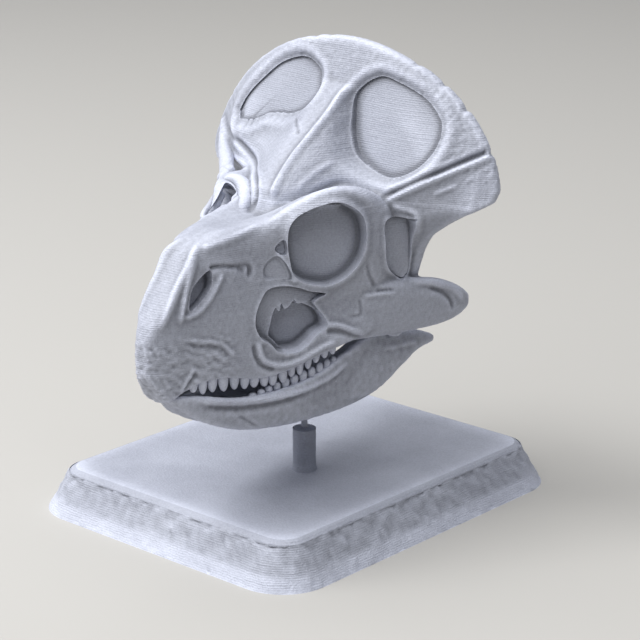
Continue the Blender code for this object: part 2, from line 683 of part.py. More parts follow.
# -------------------------------------------------------------------------- the assembly
def main():
    for item in list(bpy.data.objects):
        bpy.data.objects.remove(item)
    parts = bpy.data.collections.new("printed_skull_model")
    tools = bpy.data.collections.new("tools")
    for collection in (parts, tools):
        bpy.context.scene.collection.children.link(collection)

    stand_pieces = make_stand(parts)
    skull = make_face(parts, tools)
    skull["frill"] = make_frill(parts, tools)
    skull["lower_jaw"] = make_jaw(parts, tools)

    mount = bpy.data.objects.new("skull_mount", None)
    parts.objects.link(mount)
    mount.location = (POST_X * MM, POST_Y * MM, 0.0)
    for item in list(skull.values()) + list(tools.objects):
        item.parent = mount

    bone = printed_plastic("skull_plastic", (0.47, 0.49, 0.54), 0.62)
    stand = printed_plastic("stand_plastic", (0.45, 0.47, 0.52), 0.62)
    for item in skull.values():
        item.data.materials.clear()
        item.data.materials.append(bone)
    for item in stand_pieces:
        item.data.materials.append(stand)
    for item in stand_pieces[1:]:
        item.data.shade_smooth()


main()
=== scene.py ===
# %% [markdown]
# # A printed desk model of a frilled dinosaur skull
# The object is a small printed model: a beaked skull with a wide frill, held over a
# rounded plinth by a short post and a thin pin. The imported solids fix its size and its
# place. This notebook lays finer skins over them: the same forms, worked out on dense
# grids, with the ridges, seams, pits and layer lines that a print of this kind shows.

# %% Load the frame
import math
from functools import partial

import bmesh
import bpy
import numpy as np
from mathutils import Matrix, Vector


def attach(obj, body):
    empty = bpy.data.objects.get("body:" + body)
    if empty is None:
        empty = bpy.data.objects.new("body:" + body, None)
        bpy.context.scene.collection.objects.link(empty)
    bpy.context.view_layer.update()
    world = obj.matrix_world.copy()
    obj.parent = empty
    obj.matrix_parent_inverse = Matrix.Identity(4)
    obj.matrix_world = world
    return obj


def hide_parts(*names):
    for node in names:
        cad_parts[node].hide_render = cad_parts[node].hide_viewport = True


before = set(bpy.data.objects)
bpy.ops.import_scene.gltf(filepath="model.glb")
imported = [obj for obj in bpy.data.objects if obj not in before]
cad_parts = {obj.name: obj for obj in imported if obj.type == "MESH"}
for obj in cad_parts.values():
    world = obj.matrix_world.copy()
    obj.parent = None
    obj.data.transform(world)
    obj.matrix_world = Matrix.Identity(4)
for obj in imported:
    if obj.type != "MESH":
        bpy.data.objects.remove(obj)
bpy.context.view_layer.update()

MM = 0.001
MOUNT = np.array([8.2, -6.9, 0.0])      # where the skull's own frame stands, in mm
FAR_AWAY = 1e9
print("solids:", sorted(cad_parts))

# %% [markdown]
# Every form below starts as a few rows of measurements. A Catmull-Rom curve runs through
# them: at each step it blends four neighbouring rows, so the curve passes through every
# row and has no corners. A closed outline uses the same curve, wrapped round.

# %% Curves through rows of numbers
def smooth_through(rows, count):
    """A Catmull-Rom curve: 0.5 * (2b + (c-a)t + (2a-5b+4c-d)t^2 + (3b-3c+d-a)t^3)."""
    rows = np.asarray(rows, float)
    ends = (2 * rows[0] - rows[1], 2 * rows[-1] - rows[-2])
    padded = np.vstack([ends[0], rows, ends[1]])
    place = np.linspace(0, len(rows) - 1, count)
    start = np.minimum(place.astype(int), len(rows) - 2)
    part = (place - start)[:, None]
    a, b, c, d = (padded[start + step] for step in range(4))
    bend = 2 * a - 5 * b + 4 * c - d + part * (3 * (b - c) + d - a)
    return b + 0.5 * part * (c - a + part * bend)


def closed_through(rows, per_row):
    """The same curve wrapped round on itself, with per_row points to each row."""
    rows = np.asarray(rows, float)
    wrapped = np.vstack([rows[-3:], rows, rows[:3]])
    fine = smooth_through(wrapped, (len(wrapped) - 1) * per_row + 1)
    return fine[3 * per_row:(3 + len(rows)) * per_row]


def ease(value):
    """Smoothstep: 3t^2 - 2t^3 for t held between 0 and 1."""
    held = np.clip(value, 0.0, 1.0)
    return held * held * (3.0 - 2.0 * held)


def circle_turns(points):
    """Even angles round a circle, from 0 up to 2 pi."""
    return np.linspace(0.0, 2.0 * math.pi, points, endpoint=False)


print("ease at 0, 0.25, 0.5, 1:", ease(np.array([0.0, 0.25, 0.5, 1.0])))

# %% [markdown]
# A surface here is a block of points, rings by columns. The quads follow from index
# arithmetic alone: each point joins the next in its ring and the two above. Both ends are
# closed with a fan to the middle of the ring, so every form is watertight, which the
# remesh further down needs. No point is visited by a loop, so large grids stay quick.

# %% Grids to meshes
def to_world(points):
    """The skull's own millimetres to the frame's metres."""
    return (points + MOUNT) * MM


def linked(name, data):
    """A new object in the scene for a mesh, a lamp or a camera."""
    item = bpy.data.objects.new(name, data)
    bpy.context.scene.collection.objects.link(item)
    return item


def grid_object(name, grids):
    """A closed mesh for each grid (rings, columns, xyz) in a batch, all in one object."""
    grids = np.asarray(grids, float)
    if grids.ndim == 3:
        grids = grids[None]
    batch, rings, columns, _ = grids.shape
    middles = grids[:, [0, -1]].mean(axis=2)
    per_grid = rings * columns + 2
    points = np.concatenate([grids.reshape(batch, -1, 3), middles], axis=1)
    index = np.arange(rings * columns).reshape(rings, columns)
    beside = np.roll(index, -1, axis=1)
    quads = np.stack([index[:-1], beside[:-1], beside[1:], index[1:]], axis=-1).reshape(-1, 4)
    low = np.stack([beside[0], index[0], np.full(columns, per_grid - 2)], axis=-1)
    high = np.stack([index[-1], beside[-1], np.full(columns, per_grid - 1)], axis=-1)
    shift = (np.arange(batch) * per_grid)[:, None, None]
    faces = (quads[None] + shift).reshape(-1, 4).tolist()
    faces += (np.concatenate([low, high])[None] + shift).reshape(-1, 3).tolist()
    mesh = bpy.data.meshes.new(name)
    mesh.from_pydata(to_world(points.reshape(-1, 3)).tolist(), [], faces)
    return face_outwards(name, mesh)


def face_outwards(name, mesh):
    """Merges doubled points, turns the faces outwards, and makes an object."""
    shape = bmesh.new()
    shape.from_mesh(mesh)
    bmesh.ops.remove_doubles(shape, verts=shape.verts, dist=1e-7)
    bmesh.ops.recalc_face_normals(shape, faces=shape.faces)
    shape.to_mesh(mesh)
    shape.free()
    return linked(name, mesh)


print("the skull's own origin, in metres:", to_world(np.zeros(3)))

# %% [markdown]
# Forms that grow out of each other have to become one skin. A voxel remesh does it: the
# overlapping closed forms are read as one volume and wrapped again with even quads. A
# little smoothing then takes the voxel steps off. Openings are cut last, with Boolean
# cutters, so that their edges stay crisp.

# %% Joining, cutting and wrapping
VOXEL = 0.42                            # the remesh's step, in mm


def evaluated(item):
    """Replaces an object's mesh by what its modifiers make of it."""
    bpy.context.view_layer.update()
    graph = bpy.context.evaluated_depsgraph_get()
    mesh = bpy.data.meshes.new_from_object(item.evaluated_get(graph))
    item.modifiers.clear()
    old, item.data = item.data, mesh
    bpy.data.meshes.remove(old)
    return item


def discard(items):
    """Deletes objects with their meshes."""
    for item in items:
        mesh = item.data
        bpy.data.objects.remove(item)
        bpy.data.meshes.remove(mesh)


def wrap(name, items):
    """One even skin round overlapping closed objects, in quads of one voxel's size."""
    shape = bmesh.new()
    for item in items:
        shape.from_mesh(item.data)
    mesh = bpy.data.meshes.new(name)
    shape.to_mesh(mesh)
    shape.free()
    discard(items)
    item = linked(name, mesh)
    remesh = item.modifiers.new("Wrap", "REMESH")
    remesh.mode = "VOXEL"
    remesh.voxel_size = VOXEL * MM
    return evaluated(item)


def boolean(item, operation, others):
    """DIFFERENCE takes each of the others away from the item, and UNION adds it."""
    for other in others:
        step = item.modifiers.new("Boolean", "BOOLEAN")
        step.operation = operation
        step.solver = "MANIFOLD"
        step.object = other
    evaluated(item)
    discard(others)
    return item


def smooth(item, rounds):
    """Laplacian smoothing: each point moves half way to its neighbours' mean."""
    step = item.modifiers.new("Smooth", "SMOOTH")
    step.factor = 0.5
    step.iterations = rounds
    return evaluated(item)


def mesh_points(item):
    """Points in the skull's millimetres, and their normals."""
    count = len(item.data.vertices)
    points = np.empty(count * 3)
    normals = np.empty(count * 3)
    item.data.vertices.foreach_get("co", points)
    item.data.vertices.foreach_get("normal", normals)
    return points.reshape(-1, 3) / MM - MOUNT, normals.reshape(-1, 3)


def push_points(item, offsets):
    """Moves every point along its normal by its offset in mm."""
    points, normals = mesh_points(item)
    moved = to_world(points + normals * offsets[:, None])
    item.data.vertices.foreach_set("co", moved.ravel())
    item.data.update()


print("voxel step:", VOXEL, "mm")

# %% [markdown]
# ## The frill
# The frill is one leaning sheet. Y is a formula in X and Z: a flat plane that leans back,
# a crest pushed forward between the two windows, sides that sweep back, a block at each
# lower corner that falls back below its seam, and an outer band that rolls to the rim.

# %% The frill's formula
CREST_FLAT = 1.8                        # half of the crest's flat top
SEAM_ROUND = 1.4                        # radius of the fold at the seam
RIM_HALF_WIDTH, RIM_HALF_HEIGHT = 43.2, 35.8
RIM_MIDDLE_Z = 75.0


def frill_plane(z):
    """y = -22 + 0.33 z."""
    return -22.0 + 0.33 * z


def crest_push(x, z):
    """push(z) * exp(-(distance outside the crest's flat top / foot(z))^2)."""
    push = np.interp(z, (70.0, 81.2, 102.0), (18.5, 17.3, 0.0))
    foot = np.interp(z, (80.0, 92.0, 102.0), (8.5, 6.0, 4.5))
    foot = foot * np.where(x < 0.0, np.interp(z, (86.0, 93.0), (1.6, 1.0)), 1.0)
    return push * np.exp(-(np.maximum(np.abs(x) - CREST_FLAT, 0.0) / foot) ** 2)


def side_sweep(x):
    """0.36 * (b + sqrt(b^2 + 9)), where b is how far X is beyond 29 mm."""
    beyond = np.abs(x) - 29.0
    return 0.36 * (beyond + np.hypot(beyond, 3.0))


def above_seam(x, z):
    """Height over the seam of the corner block, a straight line in X."""
    return z - (79.0 + 0.57 * (np.abs(x) - 20.4))


def block_retreat(x, z):
    """A rounded fold: half of (sqrt(s^2 + r^2) - s), times a rate that depends on X."""
    above = above_seam(x, z)
    rate = np.interp(np.abs(x), (10, 15, 20, 25, 30, 39), (0.0, 0.30, 0.60, 0.64, 0.5, 0.0))
    return 0.5 * (np.hypot(above, SEAM_ROUND) - above) * rate


def rim_reach(x, z):
    """0 at the middle of the rim's ellipse and 1 on it."""
    return np.hypot(x / RIM_HALF_WIDTH, (z - RIM_MIDDLE_Z) / RIM_HALF_HEIGHT)


def roll_share(x):
    """A bell curve in X: 1 at |x| = 28, where the rim rolls most."""
    return np.exp(-((np.abs(x) - 28.0) / 9.0) ** 2)


def rim_roll(x, reach):
    """3 mm at the rim, dying out inwards and away from |x| = 28."""
    band = np.clip((reach - 0.72) / 0.28, 0.0, 1.0)
    return 3.0 * roll_share(x) * band ** 1.5


print("the crest stands out %.1f mm at z = 90" % crest_push(0.0, 90.0))

# %% [markdown]
# Each window is a smooth recess with a solid floor. Its outline is a closed curve, and the
# distance to that curve, negative inside, decides how deep a point lies. The right window
# is partly closed along its lower edge, where the print left a ragged border.

# %% The windows
LEFT_WINDOW = (
    (10.9, 104.1), (5.7, 100.2), (6.2, 94.6), (7.3, 91.0), (10.6, 86.4), (19.1, 83.3),
    (25.8, 85.6), (29.2, 89.7), (29.7, 94.7), (27.8, 98.1), (23.5, 101.2), (16.5, 103.6),
)
RIGHT_WINDOW = (
    (12.2, 105.7), (7.0, 103.9), (5.7, 101.4), (5.6, 97.9), (10.8, 93.4), (18.9, 91.9),
    (25.9, 89.3), (31.5, 90.0), (29.8, 93.9), (24.6, 99.3), (19.0, 103.6),
)
WINDOW_DEPTH = 1.7


def outline_distance(across, up, outline):
    """Distance from points to a closed outline, below zero inside it."""
    ring = np.asarray(outline)
    after = np.roll(ring, -1, axis=0)
    nearest = np.full(across.shape, FAR_AWAY)
    crossings = np.zeros(across.shape, int)
    for (x0, z0), (x1, z1) in zip(ring, after):
        dx, dz = x1 - x0, z1 - z0
        share = ((across - x0) * dx + (up - z0) * dz) / (dx * dx + dz * dz)
        share = np.clip(share, 0.0, 1.0)
        gap = np.hypot(across - x0 - share * dx, up - z0 - share * dz)
        nearest = np.minimum(nearest, gap)
        spans = (z0 > up) != (z1 > up)
        meet = x0 + (up - z0) * dx / (dz if dz else 1e-9)
        crossings += (spans & (across < meet)).astype(int)
    return np.where(crossings % 2 == 1, -nearest, nearest)


def ragged(outline, low_z, size):
    """Roughens the lower border of an outline with a seeded zigzag."""
    ring = closed_through(outline, 12)
    rng = np.random.default_rng(4)
    jitter = rng.normal(0.0, size, len(ring))
    jitter = 0.6 * jitter + 0.4 * np.roll(jitter, 1)
    ring[:, 1] += jitter * ease((low_z - ring[:, 1]) / 1.5)
    return ring


WINDOW_RINGS = {1: closed_through(LEFT_WINDOW, 10), -1: ragged(RIGHT_WINDOW, 94.0, 0.28)}


def window_floor(x, z):
    """The floor of a window: the frill's plane set back, and further near the rim."""
    beyond = ease((rim_reach(x, z) - 0.70) / 0.2)
    follow = 1.3 * beyond * roll_share(x)
    return frill_plane(z) + side_sweep(x) + WINDOW_DEPTH + follow


def rolled_shoulders(x, z, front):
    """Rolls the front over towards each window: share * exp(-(distance / 1.1)^2)."""
    for side, ring in WINDOW_RINGS.items():
        outside = np.maximum(outline_distance(x * side, z, ring), 0.0)
        share = 0.72 * np.exp(-(outside / 1.1) ** 2)
        front = front + share * (window_floor(x, z) - front)
    return front


def window_cutter(side):
    """Rings from the air in front, down the outline's walls, and in across the floor."""
    ring = WINDOW_RINGS[side] * np.array([side, 1.0])
    middle = ring.mean(axis=0)
    sizes = np.concatenate([[1.03, 1.01, 1.0], np.linspace(1.0, 0.02, 16)])
    flat = middle + (ring - middle) * sizes[:, None, None]
    x, z = flat[..., 0], flat[..., 1]
    y = window_floor(x, z)
    y[0] = -30.0                        # well in front of the frill
    y[1] -= 4.0
    y[2] -= 1.0
    return grid_object("cutter", np.stack([x, y, z], axis=-1))


print("points round the windows:", [len(ring) for ring in WINDOW_RINGS.values()])

# %% [markdown]
# The sheet itself is a fan of lines from a hub at the crest's foot to the edge. Each line
# runs out over the front, round the rim and back over the rear face. The edge is half an
# ellipse with a corner on either side, and a few small notches are bitten out of it.

# %% The frill's sheet
FRILL_HUB = np.array([0.0, 70.0])
SHEET_THICK = 3.2
FRILL_CORNER = (
    (41.8, 79.4), (39.0, 77.6), (34.4, 75.2), (29.0, 71.9), (24.6, 67.8), (20.8, 57.6),
)
# degrees round the edge, depth and width of each notch
NOTCHES = (
    (63.0, 0.5, 1.6), (52.0, 0.8, 1.3), (41.0, 0.9, 1.2), (24.0, 0.8, 1.0),
    (103.0, 0.5, 1.2), (97.0, 0.4, 1.0), (150.0, 0.6, 1.4),
)


def frill_edge(arc_count, corner_count):
    """(x, z) round the edge: half an ellipse, and the lower corner on either side."""
    turn = np.radians(np.linspace(90.0, 11.0, arc_count))
    arc = np.stack([RIM_HALF_WIDTH * np.cos(turn),
                    RIM_MIDDLE_Z + RIM_HALF_HEIGHT * np.sin(turn)], axis=1)
    half = np.vstack([arc, smooth_through(FRILL_CORNER, corner_count)])
    edge = np.vstack([half[::-1], half[1:] * np.array([-1.0, 1.0])])
    around = np.degrees(np.arctan2((edge[:, 1] - RIM_MIDDLE_Z) / RIM_HALF_HEIGHT,
                                   edge[:, 0] / RIM_HALF_WIDTH))
    for angle, depth, width in NOTCHES:
        past = (around - angle) / width
        gentle = depth * np.exp(-np.abs(past)) * (past > 0.0)
        steep = depth * ease(1.0 + 3.0 * past) * (past <= 0.0)
        inward = (edge - FRILL_HUB) / np.hypot(*(edge - FRILL_HUB).T)[:, None]
        edge -= inward * (gentle + steep)[:, None]
    return edge


def frill_sheet(arc_count=130, corner_count=46, steps=120):
    """Rings round the sheet's thickness, one on each line from the hub to the edge."""
    edge = frill_edge(arc_count, corner_count)
    outward = edge - FRILL_HUB
    unit = outward / np.hypot(*outward.T)[:, None]
    reach = np.linspace(0.05, 1.0, steps)
    line = FRILL_HUB + outward[:, None] * reach[None, :, None]
    x, z = line[..., 0], line[..., 1]
    flat = frill_plane(z) + side_sweep(x) + rim_roll(x, reach)
    front = flat - crest_push(x, z) + block_retreat(x, z)
    back = np.maximum(flat + SHEET_THICK + 8.0 * (1.0 - reach), front + SHEET_THICK)
    front = rolled_shoulders(x, z, front)
    ahead = np.stack([x, front, z], axis=-1)
    behind = np.stack([x, back, z], axis=-1)[:, ::-1]
    middle = 0.5 * (front[:, -1] + back[:, -1])
    half = 0.5 * (back[:, -1] - front[:, -1])
    round_over = np.linspace(-1.0, 1.0, 9)[1:-1]
    bulge = 0.9 * np.sqrt(1.0 - round_over ** 2)
    rim_xz = edge[:, None] + unit[:, None] * bulge[None, :, None]
    rim_y = middle[:, None] + half[:, None] * round_over
    rim = np.stack([rim_xz[..., 0], rim_y, rim_xz[..., 1]], axis=-1)
    return np.concatenate([ahead, rim, behind], axis=1)


frill = grid_object("frill_form", frill_sheet())
print("frill points:", len(frill.data.vertices))

# %% [markdown]
# ## The face
# The face is lofted. One row holds each cross-section, from the beak back to the
# braincase: its Y, the height of the midline, four points down the side, and the palate.
# The cheek bars, the two rods that reach down to the jaw joint and the knob at the back
# of the braincase are forms of their own that run into it.

# %% The face's loft
FACE_SECTIONS = (
    (-52.6, 55.0, 1.2, 54.0, 1.6, 51.0, 1.6, 48.5, 1.2, 46.6, 46.2),
    (-51.0, 58.8, 2.4, 57.8, 3.0, 54.0, 3.2, 50.0, 2.6, 44.6, 44.0),
    (-48.0, 62.6, 3.2, 61.6, 4.3, 56.0, 4.7, 49.0, 3.7, 41.0, 39.6),
    (-44.0, 67.2, 3.8, 66.4, 5.0, 60.0, 5.6, 52.0, 4.8, 42.3, 42.2),
    (-39.0, 73.0, 4.3, 72.0, 6.0, 64.0, 6.9, 54.0, 6.4, 43.7, 46.0),
    (-33.0, 75.6, 5.4, 74.6, 7.4, 66.0, 8.6, 54.0, 8.4, 43.3, 47.0),
    (-26.0, 75.6, 7.2, 75.2, 8.8, 66.0, 10.2, 54.0, 10.4, 41.8, 48.0),
    (-19.0, 75.4, 11.0, 77.6, 11.6, 68.0, 12.2, 54.0, 12.6, 42.5, 49.0),
    (-13.0, 75.0, 14.4, 81.8, 16.6, 71.0, 14.6, 56.0, 14.8, 44.4, 49.0),
    (-6.0, 74.0, 17.2, 83.2, 20.2, 71.0, 18.0, 57.0, 17.6, 46.6, 49.0),
    (1.0, 74.0, 18.6, 81.4, 22.0, 71.0, 20.4, 58.0, 19.6, 48.4, 50.0),
    (8.0, 73.6, 18.6, 76.4, 22.4, 69.0, 21.0, 60.0, 18.0, 51.0, 52.0),
    (13.5, 72.0, 15.6, 70.6, 19.6, 66.0, 18.0, 61.0, 12.0, 55.6, 54.6),
)


def both_sides(half):
    """Closed rings from their left halves, whose end points lie on the midline."""
    other = half[:, -2:0:-1] * np.array([-1.0, 1.0, 1.0])
    return np.concatenate([half, other], axis=1)


def face_loft(rings=200, points=90):
    """At each Y the outline is a curve from the midline down the side to the palate."""
    rows = smooth_through(FACE_SECTIONS, rings)
    zero = np.zeros(rings)
    marks_x = np.stack([zero, *rows[:, [2, 4, 6, 8]].T, zero])
    marks_z = rows[:, [1, 3, 5, 7, 9, 10]].T
    x = np.maximum(smooth_through(marks_x, points), 0.0).T
    z = smooth_through(marks_z, points).T
    x[:, [0, -1]] = 0.0
    y = np.broadcast_to(rows[:, :1], x.shape)
    grid = both_sides(np.stack([x, y, z], axis=-1))
    low_brow = ease((-grid[..., 0] - 6.0) / 5.0) * ease((grid[..., 2] - 71.0) / 4.0)
    back = np.exp(-((grid[..., 1] + 4.0) / 8.0) ** 2)
    ahead = np.exp(-((grid[..., 1] + 18.0) / 6.5) ** 2)
    grid[..., 0] += 1.0 * low_brow * back
    grid[..., 2] -= low_brow * (2.0 * back + 2.8 * ahead)
    return grid


def bar_rings(rows, squareness, points):
    """Upright rings: x and z are signed powers of cos and sin, for flattened sides."""
    turn = circle_turns(points)
    across = np.sign(np.cos(turn)) * np.abs(np.cos(turn)) ** squareness
    along = np.sign(np.sin(turn)) * np.abs(np.sin(turn)) ** squareness
    y, x, low, high, thick = (rows[:, k:k + 1] for k in range(5))
    grid_x = x + thick * across
    grid_z = 0.5 * (low + high) + 0.5 * (high - low) * along
    return np.stack([grid_x, np.broadcast_to(y, grid_x.shape), grid_z], axis=-1)


def mirrored(grid, side):
    """The grid for the left side (1), or its mirror image for the right one (-1)."""
    return grid * np.array([side, 1.0, 1.0])


print("face sections:", len(FACE_SECTIONS))

# %% [markdown]
# A cheek bar is a flattened rod that widens to the rear. A short rod reaches down to the
# jaw joint on each side, a knob stands at the back of the braincase, and a strut backs
# each slot at the temple. The right brow differs from the left: it is an arch with a gap
# under it, so its bar, arch, wall, web and rim are round tubes along paths of their own.

# %% Cheek bars, rods and knob
CHEEK_SECTIONS = (
    (-15.0, 11.0, 47.6, 55.0, 1.6), (-9.0, 13.6, 46.8, 57.6, 2.2),
    (-2.0, 17.2, 46.8, 59.6, 2.7), (5.0, 20.2, 46.9, 60.0, 2.8),
    (11.0, 22.4, 47.0, 59.4, 2.7), (17.0, 24.2, 47.2, 58.6, 2.6),
    (21.5, 25.2, 47.7, 57.0, 2.3), (25.0, 25.9, 48.8, 55.0, 1.8),
    (27.4, 26.4, 50.2, 53.0, 0.9),
)


FRONT_LEFT = (0.635, -0.711, 0.302)     # points to the front left, a little upwards


def rod(foot, head, foot_radius, head_radius, rings=30, points=24):
    """A round rod between two points whose radius changes evenly along it."""
    foot, head = np.asarray(foot, float), np.asarray(head, float)
    share = np.linspace(0.0, 1.0, rings)[:, None, None]
    radius = foot_radius + (head_radius - foot_radius) * share
    turn = circle_turns(points)
    circle = np.stack([np.cos(turn), np.sin(turn), np.zeros(points)], axis=-1)
    return foot + (head - foot) * share + radius * circle


def knob(centre, radius, rings=24, points=32):
    """A ball: circles whose radius is the sine of the angle from the pole."""
    tilt = np.linspace(0.05, math.pi - 0.05, rings)[:, None]
    turn = circle_turns(points)[None]
    grid = np.stack([np.sin(tilt) * np.cos(turn), np.sin(tilt) * np.sin(turn),
                     np.cos(tilt) * np.ones_like(turn)], axis=-1)
    return np.asarray(centre) + radius * grid


face_forms = [grid_object("face_form", face_loft())]
for side in (1, -1):
    cheek = bar_rings(smooth_through(CHEEK_SECTIONS, 110), 0.62, 64)
    face_forms.append(grid_object("cheek_form", mirrored(cheek, side)))
    joint_rod = rod((17.6, 10.6, 45.0), (18.4, 11.6, 62.0), 2.6, 1.7)
    face_forms.append(grid_object("rod_form", mirrored(joint_rod, side)))
face_forms.append(grid_object("knob_form", knob((0.0, 13.6, 59.6), 2.9)))


def tube_grid(rows, radii, rings=60, points=24):
    """A round tube along a smooth path; its radius is a curve through the radii."""
    path = smooth_through(rows, rings)
    radius = np.interp(np.linspace(0, 1, rings), np.linspace(0, 1, len(radii)), radii)
    ahead = np.gradient(path, axis=0)
    ahead /= np.linalg.norm(ahead, axis=1)[:, None]
    side = np.cross(ahead, FRONT_LEFT)
    side /= np.linalg.norm(side, axis=1)[:, None]
    up = np.cross(side, ahead)
    turn = circle_turns(points)
    cosine, sine = np.cos(turn)[None, :, None], np.sin(turn)[None, :, None]
    circle = cosine * side[:, None] + sine * up[:, None]
    return path[:, None] + radius[:, None, None] * circle


# the bar that runs in to the right brow from the frill
RIGHT_BAR = (
    (-39.6, 15.4, 86.2), (-36.0, 11.4, 83.3), (-31.5, 6.8, 81.6), (-27.5, 3.0, 80.5),
    (-23.0, -1.5, 79.6), (-18.5, -6.3, 78.9),
)
BAR_RADII = (1.2, 1.5, 1.7, 1.8, 1.8, 1.6)
# the right brow is an arch of its own, open in front of the socket
RIGHT_ARCH = (
    (-11.0, -20.2, 72.4), (-13.2, -19.4, 73.8), (-14.2, -16.1, 75.6), (-14.7, -13.1, 77.7),
    (-14.9, -11.1, 79.4), (-13.6, -10.1, 80.5), (-11.2, -9.6, 80.3), (-8.9, -10.2, 79.2),
    (-6.6, -12.0, 77.9), (-5.2, -14.4, 76.5), (-4.4, -16.8, 75.2),
)
ARCH_RADII = (0.7, 0.75, 0.75, 0.8, 0.85, 1.2, 1.6, 1.9, 2.0, 1.9, 1.6)
# the raised rear and lower rim of the right socket
SOCKET_WALL = (
    (-21.0, -2.8, 79.8), (-20.9, -4.0, 76.9), (-21.1, -3.4, 73.5), (-21.1, -3.4, 70.3),
    (-20.4, -4.4, 66.7), (-18.9, -6.8, 63.4), (-17.1, -9.7, 61.6), (-15.2, -12.9, 61.9),
)
WALL_RADII = (1.6, 1.9, 1.9, 1.7, 1.4, 1.1, 0.9, 0.6)
# a web that closes the arch's foot against the snout
SOCKET_WEB = (
    (-12.4, -18.6, 72.6), (-13.3, -17.4, 73.6), (-14.2, -14.2, 75.4), (-14.8, -11.6, 77.2),
)
WEB_RADII = (1.0, 1.1, 1.1, 0.9)
# the upper rim, from the arch back to the frill
SOCKET_RIM = (
    (-22.0, -2.6, 79.4), (-18.8, -6.2, 79.4), (-16.2, -9.2, 79.6), (-14.2, -10.4, 80.2),
)
RIM_RADII = (1.7, 1.6, 1.3, 1.1)
face_forms.append(grid_object("bar_form", tube_grid(RIGHT_BAR, BAR_RADII)))

# the strut behind each slot at the temple
for side in (1, -1):
    strut = rod((18.6, 9.5, 56.0), (21.6, 10.6, 77.5), 3.2, 3.2)
    face_forms.append(grid_object("strut_form", mirrored(strut, side)))
print("face forms:", len(face_forms))

# %% [markdown]
# ## Openings
# The eye sockets, the openings in front of them, the slots behind them and the nostrils
# are recesses with flat floors on this model, because it is printed solid. A cutter is a
# stack of rings: the outline itself, carried a little outwards in front, and inwards
# behind until it lies flat on the floor.

# %% Cutters for the openings
OPENING_STEPS = 8                       # points for each row of an outline


def opening(outline, facing, depth, floor_share, reach=3.0):
    """Rings from outside the surface, through the outline, to a flat floor."""
    ring = closed_through(outline, OPENING_STEPS)
    facing = np.asarray(facing, float)
    facing = facing / np.linalg.norm(facing)
    centre = ring.mean(axis=0)
    arm = ring - centre
    height = arm @ facing
    flat = arm - height[:, None] * facing
    rings = [centre + arm * 1.10 + facing * (reach + 1.0),
             centre + arm * 1.02 + facing * 0.5]
    for share in np.linspace(0.0, 1.0, 7):
        bend = ease(share)
        size = 1.0 + (floor_share - 1.0) * share
        level = height * (1.0 - bend)
        rings.append(centre + flat * size + (level - depth * share)[:, None] * facing)
    for share in np.linspace(1.0, 0.03, 14)[1:]:
        rings.append(centre + flat * floor_share * share - depth * facing)
    return np.array(rings)


ORBIT = (
    (17.9, -9.7, 80.4), (16.3, -12.6, 79.9), (14.6, -15.2, 78.9), (13.0, -17.3, 77.2),
    (12.3, -18.5, 74.9), (12.0, -18.5, 71.3), (12.2, -18.2, 68.4), (12.7, -17.5, 64.9),
    (14.1, -15.5, 62.8), (15.8, -12.3, 61.7), (17.1, -9.7, 61.7), (18.9, -6.6, 63.4),
    (20.5, -4.2, 66.7), (21.1, -3.2, 70.5), (21.0, -3.2, 74.4), (20.6, -4.4, 77.3),
    (19.3, -7.1, 79.6),
)
PREORBIT = (
    (10.5, -23.1, 62.0), (12.0, -19.4, 62.2), (13.6, -16.7, 61.5), (14.9, -14.3, 60.4),
    (16.2, -10.8, 59.4), (15.5, -12.2, 58.5), (15.0, -13.2, 57.5), (15.2, -12.4, 56.1),
    (15.5, -11.4, 54.3), (15.8, -11.2, 52.1), (15.0, -13.4, 50.5), (14.4, -15.4, 48.7),
    (13.5, -18.0, 47.2), (12.3, -21.7, 47.4), (11.5, -23.4, 49.3), (10.6, -25.8, 51.3),
    (10.0, -26.9, 54.0), (9.8, -26.5, 57.0), (10.0, -25.0, 60.0),
)
PREORBIT_FLOOR = (
    (9.2, -20.8, 55.2), (9.4, -20.0, 56.8), (9.7, -19.2, 56.0), (9.9, -18.7, 57.6),
    (10.1, -18.0, 56.4), (10.4, -17.2, 56.6), (10.9, -15.9, 58.0), (11.3, -15.2, 57.2),
    (11.9, -13.9, 57.0), (12.9, -11.3, 55.4), (13.7, -9.8, 53.0), (13.8, -9.9, 51.4),
    (13.0, -11.9, 50.2), (12.4, -13.9, 48.4), (11.7, -16.2, 47.2), (10.6, -19.3, 47.4),
    (9.9, -20.8, 49.2), (9.3, -22.0, 50.7), (9.2, -21.5, 53.0),
)
TEMPLE = (
    (22.1, 3.0, 74.5), (25.5, 7.7, 74.6), (25.8, 8.3, 73.6), (24.3, 9.6, 70.6),
    (22.0, 10.6, 62.0), (21.2, 10.2, 60.6), (20.7, 8.9, 60.1), (21.7, 5.0, 62.4),
    (22.0, 3.3, 65.0), (22.3, 2.6, 68.8),
)
NOSTRIL = (
    (5.9, -37.2, 68.5), (5.2, -41.2, 65.5), (5.2, -42.4, 62.6), (5.3, -42.8, 60.8),
    (5.5, -42.2, 60.4), (6.1, -39.5, 62.1), (6.5, -37.0, 64.8), (6.3, -36.4, 67.2),
)
TEAR_PIT = (
    (11.6, -19.5, 72.8), (10.7, -20.9, 71.6), (10.5, -21.1, 70.5), (11.1, -19.8, 69.3),
    (11.8, -18.9, 69.4), (12.0, -18.9, 71.2),
)
TEAR_HOLLOW = (
    (10.5, -21.1, 69.2), (9.5, -23.5, 67.3), (9.6, -24.1, 65.0), (10.2, -22.8, 63.9),
    (12.4, -18.2, 63.6), (11.7, -19.3, 67.6),
)


def lowered(outline):
    """The right socket's outline: its top is a little lower and further in."""
    ring = np.asarray(outline, float).copy()
    high = ease((ring[:, 2] - 70.0) / 8.0)
    ring[:, 2] -= 2.4 * high
    ring[:, 0] -= 0.8 * high
    return ring


